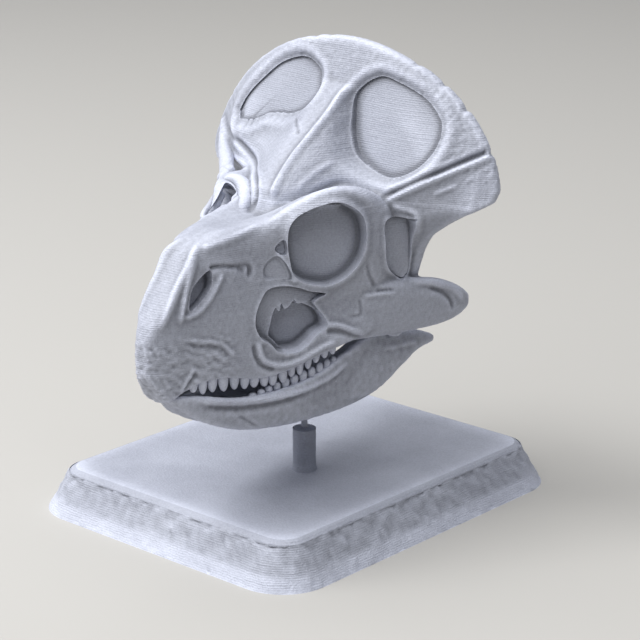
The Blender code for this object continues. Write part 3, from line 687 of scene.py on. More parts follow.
def face_cutters(side):
    """One side's openings; the right socket is shallower, and its top is lower."""
    socket, socket_depth = (ORBIT, 4.0) if side > 0 else (lowered(ORBIT), 3.2)
    # outline, the way it faces, depth, how much smaller the floor is, and reach
    plan = ((socket, (0.83, -0.55, 0.10), socket_depth, 0.95, 6.0),
            (PREORBIT, (0.90, -0.43, 0.0), 2.2, 0.97),
            (PREORBIT_FLOOR, (0.90, -0.43, 0.0), 2.4, 0.98),
            (TEMPLE, (0.90, -0.42, 0.0), 1.3, 0.99),
            (NOSTRIL, (0.94, -0.25, 0.2), 3.0, 0.95),
            (TEAR_PIT, (0.85, -0.50, 0.1), 1.0, 0.85),
            (TEAR_HOLLOW, (0.85, -0.50, 0.1), 0.5, 0.75))
    return [grid_object("cutter", mirrored(opening(*row), side)) for row in plan]


# the gap under the right arch; a tunnel through it opens forwards over the snout
RIGHT_GAP = (
    (-17.1, -14.8, 72.0), (-16.2, -13.3, 73.8), (-15.8, -12.3, 75.2), (-15.5, -11.5, 76.6),
    (-15.3, -10.7, 78.1), (-15.0, -10.1, 79.1), (-14.3, -9.6, 79.0), (-13.5, -9.1, 78.2),
    (-12.9, -8.9, 77.0), (-13.3, -9.8, 75.9), (-13.1, -10.3, 74.6), (-13.6, -11.2, 73.3),
    (-14.7, -12.8, 72.2),
)
print("points round a socket:", OPENING_STEPS * len(ORBIT))

# %% [markdown]
# ## One skin for face and frill
# Frill, face, cheeks and rods are wrapped together, finely enough to carry the small
# relief, so they are one body, as they would be in a print made in one go.

# %% Wrap the skull
skull = smooth(wrap("skull", face_forms + [frill]), rounds=7)
print("skull points:", len(skull.data.vertices))

# %% [markdown]
# ## Relief
# The small forms are offsets along the surface's normal: a ridge or a groove is a bell
# curve of the distance to a path, times its height, fading at the path's ends. Most of
# them lie on both sides of the skull, so the distance is taken with X made positive.

# %% Offsets along paths
def path_distance(points, path):
    """Distance from every point to a path, and how far along the path, from 0 to 1."""
    nearest = np.full(len(points), FAR_AWAY)
    place = np.zeros(len(points))
    for k, (start, end) in enumerate(zip(path, path[1:])):
        step = end - start
        share = np.clip((points - start) @ step / (step @ step), 0.0, 1.0)
        gap = np.linalg.norm(points - start - share[:, None] * step, axis=1)
        closer = gap < nearest
        nearest = np.where(closer, gap, nearest)
        place = np.where(closer, (k + share) / (len(path) - 1), place)
    return nearest, place


def relief(points, rows, height, width, fade=0.2, closed=False):
    """height * exp(-(distance / width)^2), eased to nothing over the fade at each end."""
    offsets = np.zeros(len(points))
    path = closed_through(rows, 5) if closed else smooth_through(rows, 5 * len(rows))
    if closed:
        path = np.vstack([path, path[:1]])
    low = path.min(axis=0) - 3 * width
    high = path.max(axis=0) + 3 * width
    near = np.all((points > low) & (points < high), axis=1)
    gap, place = path_distance(points[near], path)
    ends = 1.0 if closed else ease(np.minimum(place, 1.0 - place) / max(fade, 1e-6))
    offsets[near] = height * np.exp(-(gap / width) ** 2) * ends
    return offsets


def carved(points, table, start=0.0):
    """Adds the offsets of every (path, height, width, fade) in a table to the start."""
    return sum((relief(points, *row) for row in table), start)


def folded_over(points):
    """The same points with X made positive, so one path serves both sides."""
    folded = points.copy()
    folded[:, 0] = np.abs(folded[:, 0])
    return folded


def ripples(points, size, seed, stretch=(1.0, 1.0, 1.0), waves=40):
    """A sum of sine waves in seeded random directions, about 1 high, size mm across."""
    rng = np.random.default_rng(seed)
    direction = rng.normal(size=(waves, 3))
    direction /= np.linalg.norm(direction, axis=1)[:, None]
    wave = direction * (2.0 * math.pi / size) * rng.uniform(0.6, 1.5, (waves, 1))
    wave = wave / np.asarray(stretch)
    total = np.zeros(len(points))
    for row, phase in zip(wave, rng.uniform(0.0, 2.0 * math.pi, waves)):
        total += np.sin(points @ row + phase)
    return total / math.sqrt(0.5 * waves)


print("ripples at the origin: %.3f" % ripples(np.zeros((1, 3)), 1.2, 11)[0])

# %% [markdown]
# Brow ridge, cheek ridge, the seams between the bones, the folds round the nostril and the
# step along the upper jaw are lines on the real head, raised where bone thickens and sunk
# where two bones meet. Each is one row: its path, height, width and fade. The sockets and
# the openings beside them have raised lips as well.

# %% Ridges and grooves on both sides
SIDE_RELIEF = (
    # path, height, width, fade
    (((8.2, -22.8, 76.4), (10.2, -18.1, 78.4), (13.3, -14.9, 80.7), (15.5, -11.2, 82.4),
      (17.3, -7.9, 82.8), (19.0, -5.1, 82.1), (20.7, -1.6, 80.1), (21.5, 1.6, 77.8)),
     0.55, 1.3, 0.2),
    (((7.5, -20.5, 76.3), (8.6, -16.0, 77.6), (8.6, -9.0, 79.2), (8.9, -4.2, 80.6),
      (10.6, -0.3, 81.7), (14.3, 3.3, 81.5)), -0.7, 1.0, 0.25),
    (((20.5, 2.4, 80.6), (21.7, 5.2, 80.9), (27.3, 6.7, 83.9), (31.8, 9.9, 86.9),
      (36.0, 13.0, 89.0)), 0.35, 0.8, 0.25),
    (((21.5, 2.4, 77.9), (23.3, 5.6, 77.2), (26.5, 7.2, 76.4), (27.2, 8.1, 75.0),
      (25.6, 9.8, 70.4), (23.2, 11.2, 64.0)), 0.6, 0.9, 0.15),
    (((25.6, 13.6, 57.4), (26.8, 17.3, 55.6), (27.3, 20.0, 53.4), (27.5, 21.3, 50.2)),
     -0.5, 0.5, 0.2),
    (((23.2, 8.9, 59.5), (25.3, 13.7, 58.4), (26.6, 17.4, 57.0), (27.5, 21.9, 54.6),
      (27.6, 24.6, 51.8)), 0.45, 0.7, 0.15),
    (((21.0, -2.0, 66.1), (20.7, -1.2, 63.2), (20.6, 0.1, 60.8), (20.9, 1.3, 58.6)),
     -0.3, 0.5, 0.25),
    (((19.3, -2.9, 57.4), (19.6, -2.6, 55.5), (19.6, -2.9, 53.2), (18.3, -5.9, 53.3)),
     -0.25, 0.3, 0.2),
    (((3.3, -37.8, 73.7), (4.6, -42.2, 67.0), (4.9, -44.4, 61.4), (4.9, -45.6, 57.4)),
     0.9, 0.7, 0.2),
    (((6.3, -36.2, 68.4), (6.0, -38.0, 66.0), (5.6, -40.0, 63.4), (5.3, -42.4, 60.8)),
     -0.5, 2.2, 0.2),
    (((5.4, -45.4, 59.6), (5.6, -43.1, 59.2), (6.2, -40.2, 60.2), (6.5, -37.5, 62.5),
      (6.8, -35.2, 65.5), (6.9, -33.8, 67.8)), 0.6, 0.55, 0.15),
    (((10.5, -26.5, 51.3), (11.0, -26.5, 48.7), (11.5, -25.7, 46.3), (12.1, -23.7, 44.9),
      (13.0, -20.6, 44.4), (14.2, -17.2, 44.8), (15.4, -13.9, 46.2), (16.8, -10.8, 47.5),
      (17.9, -8.3, 48.0)), 0.7, 0.65, 0.1),
    (((10.2, -27.7, 50.7), (10.5, -27.5, 47.5), (11.0, -25.8, 44.9), (12.2, -22.4, 43.4)),
     -0.6, 0.5, 0.15),
    (((15.9, -11.0, 51.9), (17.4, -8.0, 51.6), (18.5, -6.0, 50.6), (20.0, -1.8, 48.6)),
     0.7, 0.6, 0.2),
    (((16.0, -11.0, 50.4), (17.2, -8.2, 50.2), (18.4, -5.6, 49.2), (19.8, -1.8, 47.4)),
     -0.9, 0.7, 0.2),
    (((19.6, -2.1, 57.4), (21.4, 1.8, 57.5), (23.2, 6.0, 57.2)), 0.35, 0.4, 0.2),
    (((20.9, 0.6, 58.4), (22.0, 3.0, 58.2), (22.9, 5.6, 57.9)), -0.35, 0.4, 0.2),
    (((20.9, 7.5, 59.6), (23.4, 11.7, 59.0), (26.0, 17.4, 57.6), (27.1, 22.0, 55.6),
      (27.3, 25.4, 52.4)), 0.35, 0.7, 0.2),
    (((21.6, 8.4, 58.0), (24.6, 12.4, 57.4), (26.8, 18.0, 56.0), (27.4, 22.0, 54.2)),
     -0.3, 0.5, 0.2),
    (((10.6, -21.0, 70.0), (11.6, -19.2, 67.8), (12.4, -18.2, 64.2), (13.1, -17.2, 62.8)),
     0.5, 0.5, 0.1),
    (((5.9, -37.1, 68.6), (6.1, -36.0, 69.0), (6.5, -33.4, 68.8), (7.2, -31.1, 68.3),
      (7.3, -29.0, 68.3), (7.8, -27.4, 68.0), (8.3, -26.9, 66.8), (8.5, -27.6, 65.1)),
     -0.7, 0.5, 0.1),
    (((7.5, -29.9, 67.8), (8.1, -28.4, 67.2)), -0.4, 0.8, 0.01),
    (((4.8, -46.9, 54.8), (6.3, -41.1, 53.4), (7.7, -36.6, 52.3), (8.2, -35.1, 51.2),
      (8.8, -33.7, 49.6), (9.4, -32.0, 47.8)), 0.25, 0.5, 0.2),
    (((5.0, -46.5, 53.8), (6.4, -41.0, 52.4), (7.8, -36.7, 51.2), (8.4, -35.0, 50.2),
      (9.0, -33.7, 48.7)), -0.25, 0.6, 0.2),
    (((6.1, -42.2, 47.4), (5.4, -44.0, 44.8), (4.6, -45.4, 42.2)), 0.45, 0.45, 0.15),
    (((6.2, -41.2, 46.6), (5.7, -42.8, 44.4), (4.9, -44.4, 42.2)), -0.45, 0.6, 0.15),
    (((2.4, -36.3, 74.5), (3.7, -40.8, 70.8), (3.7, -44.6, 65.8), (3.7, -47.7, 61.1),
      (3.2, -50.4, 56.4)), 0.8, 0.8, 0.2),
    (((7.8, -22.3, 76.7), (6.7, -28.2, 74.9), (5.4, -34.7, 73.7), (4.1, -38.1, 73.0)),
     0.45, 0.9, 0.2),
    (((30.6, 8.5, 80.8), (33.1, 10.2, 82.1), (35.7, 11.9, 83.3)), 0.35, 0.4, 0.25),
    (((5.2, -10.6, 79.5), (6.2, -6.4, 82.7), (7.3, -2.0, 85.1), (8.8, 2.0, 86.8)),
     0.3, 0.8, 0.3),
)
LIPS = ((ORBIT, 0.8, 1.3), (TEMPLE, 0.45, 0.8), (PREORBIT, 0.3, 0.8))


def skull_relief(points):
    """Everything that both sides of the face carry."""
    folded = folded_over(points)
    offsets = carved(folded, SIDE_RELIEF)
    for rows, height, width in LIPS:
        offsets += relief(folded, rows, height, width, closed=True)
    return offsets


print("ridges and grooves on each side:", len(SIDE_RELIEF))

# %% [markdown]
# The crest carries a bead along its left shoulder, the windows have soft raised borders,
# and a seam runs over each corner block: a bead just below it and a groove just above.
# The outer band is rough, and its rim is ragged in a few places.

# %% Relief on the frill
CREST_BEAD = (
    (4.8, -20.0, 76.7), (2.2, -12.0, 81.5), (1.6, -5.7, 86.8), (2.2, -1.1, 90.6),
    (3.1, 4.6, 95.6), (3.4, 8.6, 99.2), (4.4, 11.5, 102.4),
)
RIGHT_FOLD = (
    (-36.5, 12.8, 85.6), (-31.0, 9.4, 84.9), (-26.7, 6.6, 84.4), (-20.6, 3.8, 83.0),
    (-15.4, -0.4, 82.6), (-10.4, -5.6, 82.2), (-5.4, -10.4, 81.8), (-3.0, -13.0, 79.8),
    (-2.4, -14.6, 77.4), (-1.6, -17.4, 75.9),
)
RIGHT_BEAD = (
    (-39.3, 14.6, 86.4), (-33.0, 10.1, 82.6), (-27.1, 6.3, 80.8), (-20.0, 1.4, 80.6),
    (-14.3, -3.5, 81.2),
)
FORKED_CRACK = ((-8.0, 6.3, 93.0), (-4.8, 2.6, 92.8), (-2.8, 0.8, 92.4), (-0.9, -0.8, 91.2))

FRILL_RELIEF = ((CREST_BEAD, 0.9, 0.8, 0.15), (FORKED_CRACK, -0.3, 0.35, 0.1),
                (RIGHT_FOLD, -1.1, 0.7, 0.12), (RIGHT_BEAD, 0.8, 0.9, 0.2))


def frill_relief(points, normals):
    """Bead, crack, fold, and on the front the window borders and seams."""
    x, y, z = points.T
    front = ease(-normals[:, 1] * 3.0) * (y > frill_plane(z) - 24.0)
    offsets = carved(points, FRILL_RELIEF)
    on_frill = ease((y - frill_plane(z) + 8.0) / 6.0) * ease((z - 76.0) / 4.0) * front
    for side, ring in WINDOW_RINGS.items():
        gap = outline_distance(x * side, z, ring)
        border = np.exp(-((gap - 2.2) / 1.1) ** 2)
        offsets += 0.3 * border * on_frill
    above = above_seam(x, z)
    seam = ease((x - 19.5) / 3.0) * front * (y > 0.0)
    bead = 0.5 * np.exp(-((above + 0.7) / 0.75) ** 2)
    groove = -1.0 * np.exp(-((above - 0.7) / 0.7) ** 2)
    offsets += (bead + groove) * seam
    return offsets


def outer_band(points):
    """How far into the rough outer band a point lies: 0 inside it, 1 at the rim."""
    x, _, z = points.T
    leftward = ease((x - 14.0) / 12.0)
    return ease((rim_reach(x, z) - 0.82) / 0.10) * (z > 84.0) * (0.4 + 0.6 * leftward)


print("lines on the frill:", len(FRILL_RELIEF))

# %% [markdown]
# The skin now takes all its offsets at once, with a faint roughness everywhere, more of it
# on the outer band and wrinkles on the snout. Then the openings are cut, so their borders
# stay clean, and last the arch, wall, web and rim of the right socket are joined on.

# %% Apply the relief
WRINKLE = 1.2                           # mm from one wrinkle to the next
points, normals = mesh_points(skull)
offsets = skull_relief(points) + frill_relief(points, normals)
rough = 0.02 + 0.024 * outer_band(points)
snout_wrinkles = ease((-30.0 - points[:, 1]) / 6.0) * ease((56.0 - points[:, 2]) / 4.0)
offsets += rough * ripples(points, WRINKLE, 11)
offsets += 0.08 * snout_wrinkles * ripples(points, WRINKLE, 12, stretch=(1.0, 2.2, 0.7))
push_points(skull, offsets)
smooth(skull, rounds=1)
windows = [window_cutter(1), window_cutter(-1)]
boolean(skull, "DIFFERENCE", face_cutters(1) + face_cutters(-1) + windows)
gap = grid_object("cutter", opening(RIGHT_GAP, FRONT_LEFT, 1.5, 0.95, 7.0))
tunnel = grid_object("cutter", opening(RIGHT_GAP, (-0.15, -0.95, 0.25), 7.0, 0.9, 1.0))
boolean(skull, "DIFFERENCE", [gap, tunnel])
for rows, radii in ((RIGHT_ARCH, ARCH_RADII), (SOCKET_WALL, WALL_RADII),
                    (SOCKET_WEB, WEB_RADII), (SOCKET_RIM, RIM_RADII)):
    boolean(skull, "UNION", [grid_object("tube_form", tube_grid(rows, radii))])
print("relief from %.2f to %.2f mm" % (offsets.min(), offsets.max()))

# %% [markdown]
# ## The lower jaw
# The jaw is a trough, lofted like the face, with a free tail on each side that reaches
# back to the joint. It is wrapped on its own, because it is a piece of its own.

# %% The jaw
JAW_SECTIONS = (
    (-45.3, 2.0, 40.5, 1.6, 39.2, 40.1, 38.8), (-44.0, 3.8, 40.7, 3.2, 37.9, 39.6, 37.3),
    (-40.0, 5.6, 40.0, 5.0, 34.6, 38.4, 34.0), (-34.0, 8.0, 38.5, 7.0, 31.6, 37.2, 31.6),
    (-28.0, 10.1, 37.8, 8.8, 29.9, 36.6, 30.6), (-20.0, 12.4, 38.0, 10.8, 29.1, 36.0, 30.4),
    (-12.0, 14.7, 39.6, 12.6, 29.1, 36.8, 30.4), (-5.0, 16.6, 43.0, 14.2, 29.6, 38.6, 30.4),
    (2.0, 17.8, 46.0, 15.8, 30.8, 39.0, 30.4), (7.0, 18.6, 46.3, 17.0, 32.4, 38.0, 31.0),
)
TAIL_SECTIONS = (
    (-4.0, 14.0, 31.0, 42.6), (3.0, 16.4, 31.8, 46.0), (8.0, 17.4, 33.8, 46.2),
    (13.0, 18.2, 37.2, 45.6), (17.0, 19.0, 39.9, 45.0), (20.0, 19.6, 41.0, 43.9),
    (21.8, 20.2, 41.5, 43.1),
)


def jaw_loft(rings=150, points=110):
    """At each Y the outline runs from the keel over the lip and down to the trough."""
    rows = smooth_through(JAW_SECTIONS, rings).T
    y, lip_x, lip_z, keel_x, keel_z, floor, middle = rows
    wall = np.minimum(2.4, 0.45 * lip_x)
    zero = np.zeros(rings)
    marks_x = np.stack([zero, 0.6 * keel_x, keel_x, 0.5 * (keel_x + lip_x) + 0.5, lip_x,
                        lip_x - wall, 0.8 * (lip_x - wall), 0.6 * (lip_x - wall),
                        0.3 * lip_x, zero])
    marks_z = np.stack([middle, 0.5 * (middle + keel_z), keel_z, 0.5 * (keel_z + lip_z), lip_z,
                        lip_z - 0.3, lip_z - 1.6, floor + 0.3, floor, floor])
    x = np.maximum(smooth_through(marks_x, points), 0.0).T
    x[:, [0, -1]] = 0.0
    z = smooth_through(marks_z, points).T
    return both_sides(np.stack([x, np.broadcast_to(y[:, None], x.shape), z], axis=-1))


def tail_rings(count=70):
    """The jaw's free tail: a flattened bar that thins out to the rear."""
    rows = smooth_through(TAIL_SECTIONS, count)
    thick = np.minimum(1.9, 0.8 * (rows[:, 3] - rows[:, 2]))
    return bar_rings(np.column_stack([rows, thick]), 0.7, 48)


jaw_forms = [grid_object("jaw_form", jaw_loft())]
jaw_forms += [grid_object("tail_form", mirrored(tail_rings(), side)) for side in (1, -1)]
jaw = smooth(wrap("jaw_skin", jaw_forms), rounds=5)

JAW_RELIEF = (
    (((5.2, -41.5, 39.6), (7.8, -34.9, 38.1), (9.7, -29.5, 37.3), (11.4, -23.8, 36.9),
      (13.6, -16.4, 37.1), (15.9, -8.9, 38.9), (17.5, -3.1, 42.1)), 0.7, 0.7, 0.1),
    (((5.6, -41.5, 38.0), (8.1, -34.9, 36.4), (10.1, -28.6, 35.5), (12.4, -20.4, 35.3),
      (14.9, -13.0, 36.3)), -0.5, 0.9, 0.2),
    (((8.7, -31.9, 34.5), (9.4, -29.1, 32.4), (9.8, -26.0, 30.1)), -0.25, 0.3, 0.2),
    (((19.1, 4.8, 42.9), (20.0, 11.0, 42.6), (20.9, 16.9, 42.7)), 0.3, 0.6, 0.2),
)
points, normals = mesh_points(jaw)
push_points(jaw, carved(folded_over(points), JAW_RELIEF, 0.03 * ripples(points, 2.2, 21)))
print("jaw points:", len(jaw.data.vertices))

# %% [markdown]
# ## Teeth
# A tooth is a cone with a rounded belly: circles of radius sqrt(1 - t^n) up its length,
# where a larger n gives a blunter tip. The upper teeth are pointed and the lower ones are
# blunt, with a waist. All the teeth of a jaw are one batch of grids, and each is rooted
# in the bone it grows from.

# %% The tooth rows
UPPER_ROOTS = (
    (4.6, -41.1, 43.2), (5.4, -39.1, 43.8), (6.2, -36.8, 43.8), (7.1, -34.4, 43.8),
    (8.0, -31.7, 43.8), (8.8, -29.2, 42.9), (9.5, -26.8, 41.9), (10.1, -24.5, 41.6),
    (10.8, -22.2, 41.8), (11.5, -19.9, 42.4), (12.2, -17.6, 43.2), (12.9, -15.5, 43.9),
    (13.6, -13.5, 44.4), (14.4, -11.6, 45.2), (15.2, -9.8, 45.9), (15.9, -8.1, 46.3),
)
UPPER_DROPS = (2.1, 3.5, 3.4, 3.6, 3.7, 3.1, 2.2, 2.2, 2.6, 3.0, 2.9, 3.4, 2.7, 2.4, 2.3, 2.0)
LOWER_TIPS = (
    (8.6, -26.6, 38.3), (9.2, -24.5, 38.8), (9.6, -22.5, 39.3), (10.2, -20.5, 39.8),
    (10.9, -18.4, 40.4), (11.6, -16.2, 40.8), (12.4, -14.1, 41.4), (13.1, -12.0, 41.9),
    (13.7, -10.0, 42.5), (14.3, -8.1, 43.0), (14.8, -6.4, 43.4),
)


def tooth_grids(tips, roots, side, blunt, waist, rings=16, points=16):
    """(teeth, rings, points, xyz): circles whose radius is a curve up each tooth."""
    tips, roots = (mirrored(np.asarray(row, float), side) for row in (tips, roots))
    plan = np.gradient(tips[:, :2], axis=0)
    pitch = np.linalg.norm(plan, axis=1)
    along = plan / pitch[:, None]
    share = np.linspace(0.0, 1.0, rings)
    radius = np.sqrt(np.maximum(1.0 - share ** blunt, 0.003))
    radius = radius * (1.0 - waist * np.exp(-((share - 0.45) / 0.2) ** 2))
    turn = circle_turns(points)
    flat = np.cos(turn)[None, :, None] * along[:, None] * (0.49 * pitch)[:, None, None]
    across = np.stack([-along[:, 1], along[:, 0]], axis=1)
    flat = flat + np.sin(turn)[None, :, None] * across[:, None] * 1.05
    circle = np.concatenate([flat, np.zeros((*flat.shape[:2], 1))], axis=-1)
    spine = roots[:, None] + (tips - roots)[:, None] * share[None, :, None]
    return spine[:, :, None] + radius[None, :, None, None] * circle[:, None]


def tooth_set(name, tips, roots, blunt, waist):
    """Both sides' teeth of one jaw as one object."""
    sides = [tooth_grids(tips, roots, side, blunt, waist) for side in (1, -1)]
    return grid_object(name, np.concatenate(sides))


rng = np.random.default_rng(31)
gums = np.asarray(UPPER_ROOTS)
points_down = gums - np.column_stack([rng.normal(0.2, 0.12, len(gums)),
                                      rng.normal(0.0, 0.22, len(gums)), UPPER_DROPS])
gum_roots = gums + np.array([-0.3, 0.0, 1.2])
upper_teeth = tooth_set("upper_teeth", points_down, gum_roots, 2.8, 0.0)
crowns = np.asarray(LOWER_TIPS)
sockets = np.column_stack([crowns[:, :2], np.linspace(35.2, 37.4, len(crowns))])
lower_teeth = tooth_set("lower_teeth", crowns, sockets, 7.0, 0.25)
print("teeth:", 2 * (len(gums) + len(crowns)))

# %% [markdown]
# ## The stand
# The plinth is a rounded rectangle carried up its leaning side, over a narrow bevel and in
# to the middle of the top. Its sides are wrinkled where the print's walls pulled, and its
# top is smooth.

# %% Plinth
PLINTH_HALF = np.array([42.0, 50.0])
PLINTH_CORNER = 12.0
PLINTH_PROFILE = (
    (0.0, 0.0), (0.25, 0.5), (4.8, 8.7), (5.2, 9.15), (6.3, 9.95), (6.9, 10.2), (7.4, 10.2),
)


def rounded_rectangle(inset, count):
    """Points at even steps round a rectangle with quarter-circle corners."""
    half = PLINTH_HALF - inset
    radius = np.maximum(PLINTH_CORNER - inset, 2.0)
    straight = 2.0 * (half - radius)
    arc = 0.5 * math.pi * radius
    lengths = np.array([straight[1], arc, straight[0], arc] * 2)
    ends = np.cumsum(lengths)
    travel = np.linspace(0.0, ends[-1], count, endpoint=False)
    leg = np.searchsorted(ends, travel, side="right")
    done = travel - (ends - lengths)[leg]
    corner = half - radius
    quarter = leg // 2
    turn = 0.5 * math.pi * quarter
    on_arc = leg % 2 == 1
    angle = np.where(on_arc, turn + done / radius, turn)
    slide = np.where(on_arc, lengths[leg - 1], done)
    centre_x = corner[0] * np.array([1, -1, -1, 1])[quarter]
    centre_y = corner[1] * np.array([1, 1, -1, -1])[quarter]
    run = np.array([straight[1], straight[0]] * 2)[quarter] - slide
    x = centre_x + radius * np.cos(angle)
    y = centre_y + radius * np.sin(angle)
    along_x = np.array([0, 1, 0, -1])[quarter]
    along_y = np.array([-1, 0, 1, 0])[quarter]
    return np.stack([x + along_x * run, y + along_y * run], axis=-1)


def plinth_grid(around=640, up=34, across=16):
    """Rings up the side, over the bevel, and in to the middle of the top."""
    profile = smooth_through(PLINTH_PROFILE[1:-1], up)
    profile = np.vstack([PLINTH_PROFILE[0], profile])
    rings = []
    for inset, height in profile:
        outline = rounded_rectangle(inset, around)
        rings.append(np.column_stack([outline, np.full(around, height)]))
    last = rings[-1]
    for share in np.linspace(0.0, 0.97, across)[1:]:
        rings.append(last * np.array([1.0 - share, 1.0 - share, 1.0]))
    return np.array(rings) - MOUNT


plinth = grid_object("plinth", plinth_grid())
points, normals = mesh_points(plinth)
placed = points + MOUNT
on_side = ease(placed[:, 2] / 0.6) * ease((9.6 - placed[:, 2]) / 0.8)
wrinkle = ripples(placed, 3.2, 41, stretch=(1.5, 1.5, 0.7))
fine_wrinkle = ripples(placed, 1.3, 42, stretch=(1.8, 1.8, 0.8))
push_points(plinth, on_side * (-0.12 + 0.08 * wrinkle + 0.09 * fine_wrinkle))
print("plinth points:", len(plinth.data.vertices))

# %% [markdown]
# Post and pin are turned: a profile carried round an upright axis. A slow ripple of the
# radius stands for the print's coarser bands, which show on parts this thin.

# %% Post and pin
BAND = 0.6                              # mm from one band to the next
PROFILE_STEPS = 90


def turned_grid(profile, ripple, points):
    """Circles at each (radius, height) of a profile, round the skull's upright axis."""
    radius, height = smooth_through(profile, PROFILE_STEPS).T
    radius = radius + ripple * np.sin(height * 2.0 * math.pi / BAND)
    turn = circle_turns(points)
    x = radius[:, None] * np.cos(turn)
    return np.stack([x, radius[:, None] * np.sin(turn),
                     np.broadcast_to(height[:, None], x.shape)], axis=-1)


POST_PROFILE = (
    (2.95, 10.2), (2.95, 10.6), (2.80, 11.6), (2.75, 13.0), (2.75, 19.9), (2.68, 20.35),
    (2.40, 20.65), (2.20, 20.7), (0.8, 20.7),
)
PIN_PROFILE = ((0.72, 18.0), (0.75, 19.0), (0.76, 24.0), (0.75, 32.0), (0.6, 32.6))
post = grid_object("post", turned_grid(POST_PROFILE, 0.03, 96))
pin = grid_object("pin", turned_grid(PIN_PROFILE, 0.02, 32))
print("post and pin points:", len(post.data.vertices), len(pin.data.vertices))

# %% [markdown]
# ## The finish
# The print is a matte light blue-grey plastic. Its layers show as fine lines at a constant
# step in Z, a little uneven, and between them the surface has a fine grain. Both come from
# one node group, which each material uses with its own values.

# %% A node group for the printed surface
def feed(links, value, socket):
    """Sets a plain number on a socket, or links another node's output to it."""
    if isinstance(value, float):
        socket.default_value = value
    else:
        links.new(value, socket)


def math_node(nodes, links, operation, *values):
    """A Math node with its inputs set or linked."""
    node = nodes.new("ShaderNodeMath")
    node.operation = operation
    for value, socket in zip(values, node.inputs):
        feed(links, value, socket)
    return node.outputs[0]


def noise_node(nodes, links, vector, scale, detail, stretch=None):
    """A Noise texture on Object coordinates, stretched by a Mapping node if asked."""
    if stretch:
        mapping = nodes.new("ShaderNodeMapping")
        mapping.inputs["Scale"].default_value = stretch
        links.new(vector, mapping.inputs["Vector"])
        vector = mapping.outputs[0]
    node = nodes.new("ShaderNodeTexNoise")
    node.inputs["Detail"].default_value = detail
    links.new(vector, node.inputs["Vector"])
    feed(links, scale, node.inputs["Scale"])
    return node.outputs[0]


def make_print_group():
    """Height and shade of layer lines and grain, from Object coordinates in metres."""
    group = bpy.data.node_groups.new("printed_layers", "ShaderNodeTree")
    socket = partial(group.interface.new_socket, socket_type="NodeSocketFloat")
    for name, value in (("Line Pitch", 0.00045), ("Line Height", 0.5),
                        ("Grain Scale", 2300.0), ("Grain Height", 0.5)):
        socket(name, in_out="INPUT").default_value = value
    for name in ("Height", "Shade"):
        socket(name, in_out="OUTPUT")
    nodes, links = group.nodes, group.links
    given = nodes.new("NodeGroupInput")
    result = nodes.new("NodeGroupOutput")
    place = nodes.new("ShaderNodeTexCoord").outputs["Object"]
    parts = nodes.new("ShaderNodeSeparateXYZ")
    links.new(place, parts.inputs[0])
    calc = partial(math_node, nodes, links)
    noise = partial(noise_node, nodes, links, place)
    pitch = given.outputs["Line Pitch"]
    wander = calc("MULTIPLY", noise(90.0, 2.0), pitch)
    height = calc("ADD", parts.outputs["Z"], wander)
    turns = calc("DIVIDE", height, pitch)
    wave = calc("SINE", calc("MULTIPLY", turns, 2.0 * math.pi))
    uneven = calc("MULTIPLY", noise(1.0, 2.0, (120.0, 120.0, 2600.0)), 2.2)
    lines = calc("MULTIPLY", calc("MULTIPLY", wave, 0.35), uneven)
    lines = calc("MULTIPLY", calc("ADD", lines, uneven), given.outputs["Line Height"])
    grain = noise(given.outputs["Grain Scale"], 3.0)
    grains = calc("MULTIPLY", grain, given.outputs["Grain Height"])
    links.new(calc("ADD", lines, grains), result.inputs["Height"])
    mixed = calc("MULTIPLY", calc("ADD", noise(70.0, 3.0), grain), 0.5)
    links.new(mixed, result.inputs["Shade"])
    return group


PRINT_GROUP = make_print_group()
print(PRINT_GROUP.name, "has", len(PRINT_GROUP.nodes), "nodes")

# %% [markdown]
# Skull and stand are the same plastic with a little different grain. Each piece also keeps
# an "edge" value on its points: how far a point stands out from the mean of those round
# it. It is painted light: a painted highlight on the ridges and painted shade in the hollows.

# %% Materials
def printed_plastic(name, dark, light, roughness, line_height, grain_height, depth):
    """Matte plastic: the group's shade picks the colour and its height makes the bump."""
    material = bpy.data.materials.new(name)
    material.use_nodes = True
    nodes, links = material.node_tree.nodes, material.node_tree.links
    shader = nodes["Principled BSDF"]
    shader.inputs["Roughness"].default_value = roughness
    shader.inputs["Specular IOR Level"].default_value = 0.35
    layers = nodes.new("ShaderNodeGroup")
    layers.node_tree = PRINT_GROUP
    layers.inputs["Line Height"].default_value = line_height
    layers.inputs["Grain Height"].default_value = grain_height
    ramp = nodes.new("ShaderNodeValToRGB")
    for stop, place, colour in zip(ramp.color_ramp.elements, (0.36, 0.64), (dark, light)):
        stop.position = place
        stop.color = (*colour, 1.0)
    links.new(layers.outputs["Shade"], ramp.inputs["Fac"])
    # painted highlight on ridges and painted shade in hollows, scaled from the edge value
    edge = nodes.new("ShaderNodeAttribute")
    edge.attribute_name = "edge"
    ridge_highlight_hollow_shade = nodes.new("ShaderNodeMapRange")
    ridge_highlight_hollow_shade.inputs["To Min"].default_value = 0.52
    ridge_highlight_hollow_shade.inputs["To Max"].default_value = 1.44
    links.new(edge.outputs["Fac"], ridge_highlight_hollow_shade.inputs["Value"])
    colour_with_painted_light = nodes.new("ShaderNodeVectorMath")
    colour_with_painted_light.operation = "SCALE"
    links.new(ramp.outputs["Color"], colour_with_painted_light.inputs[0])
    links.new(ridge_highlight_hollow_shade.outputs["Result"], colour_with_painted_light.inputs["Scale"])
    links.new(colour_with_painted_light.outputs["Vector"], shader.inputs["Base Color"])
    bump = nodes.new("ShaderNodeBump")
    bump.inputs["Strength"].default_value = 1.0
    bump.inputs["Distance"].default_value = depth
    links.new(layers.outputs["Height"], bump.inputs["Height"])
    links.new(bump.outputs["Normal"], shader.inputs["Normal"])
    return material


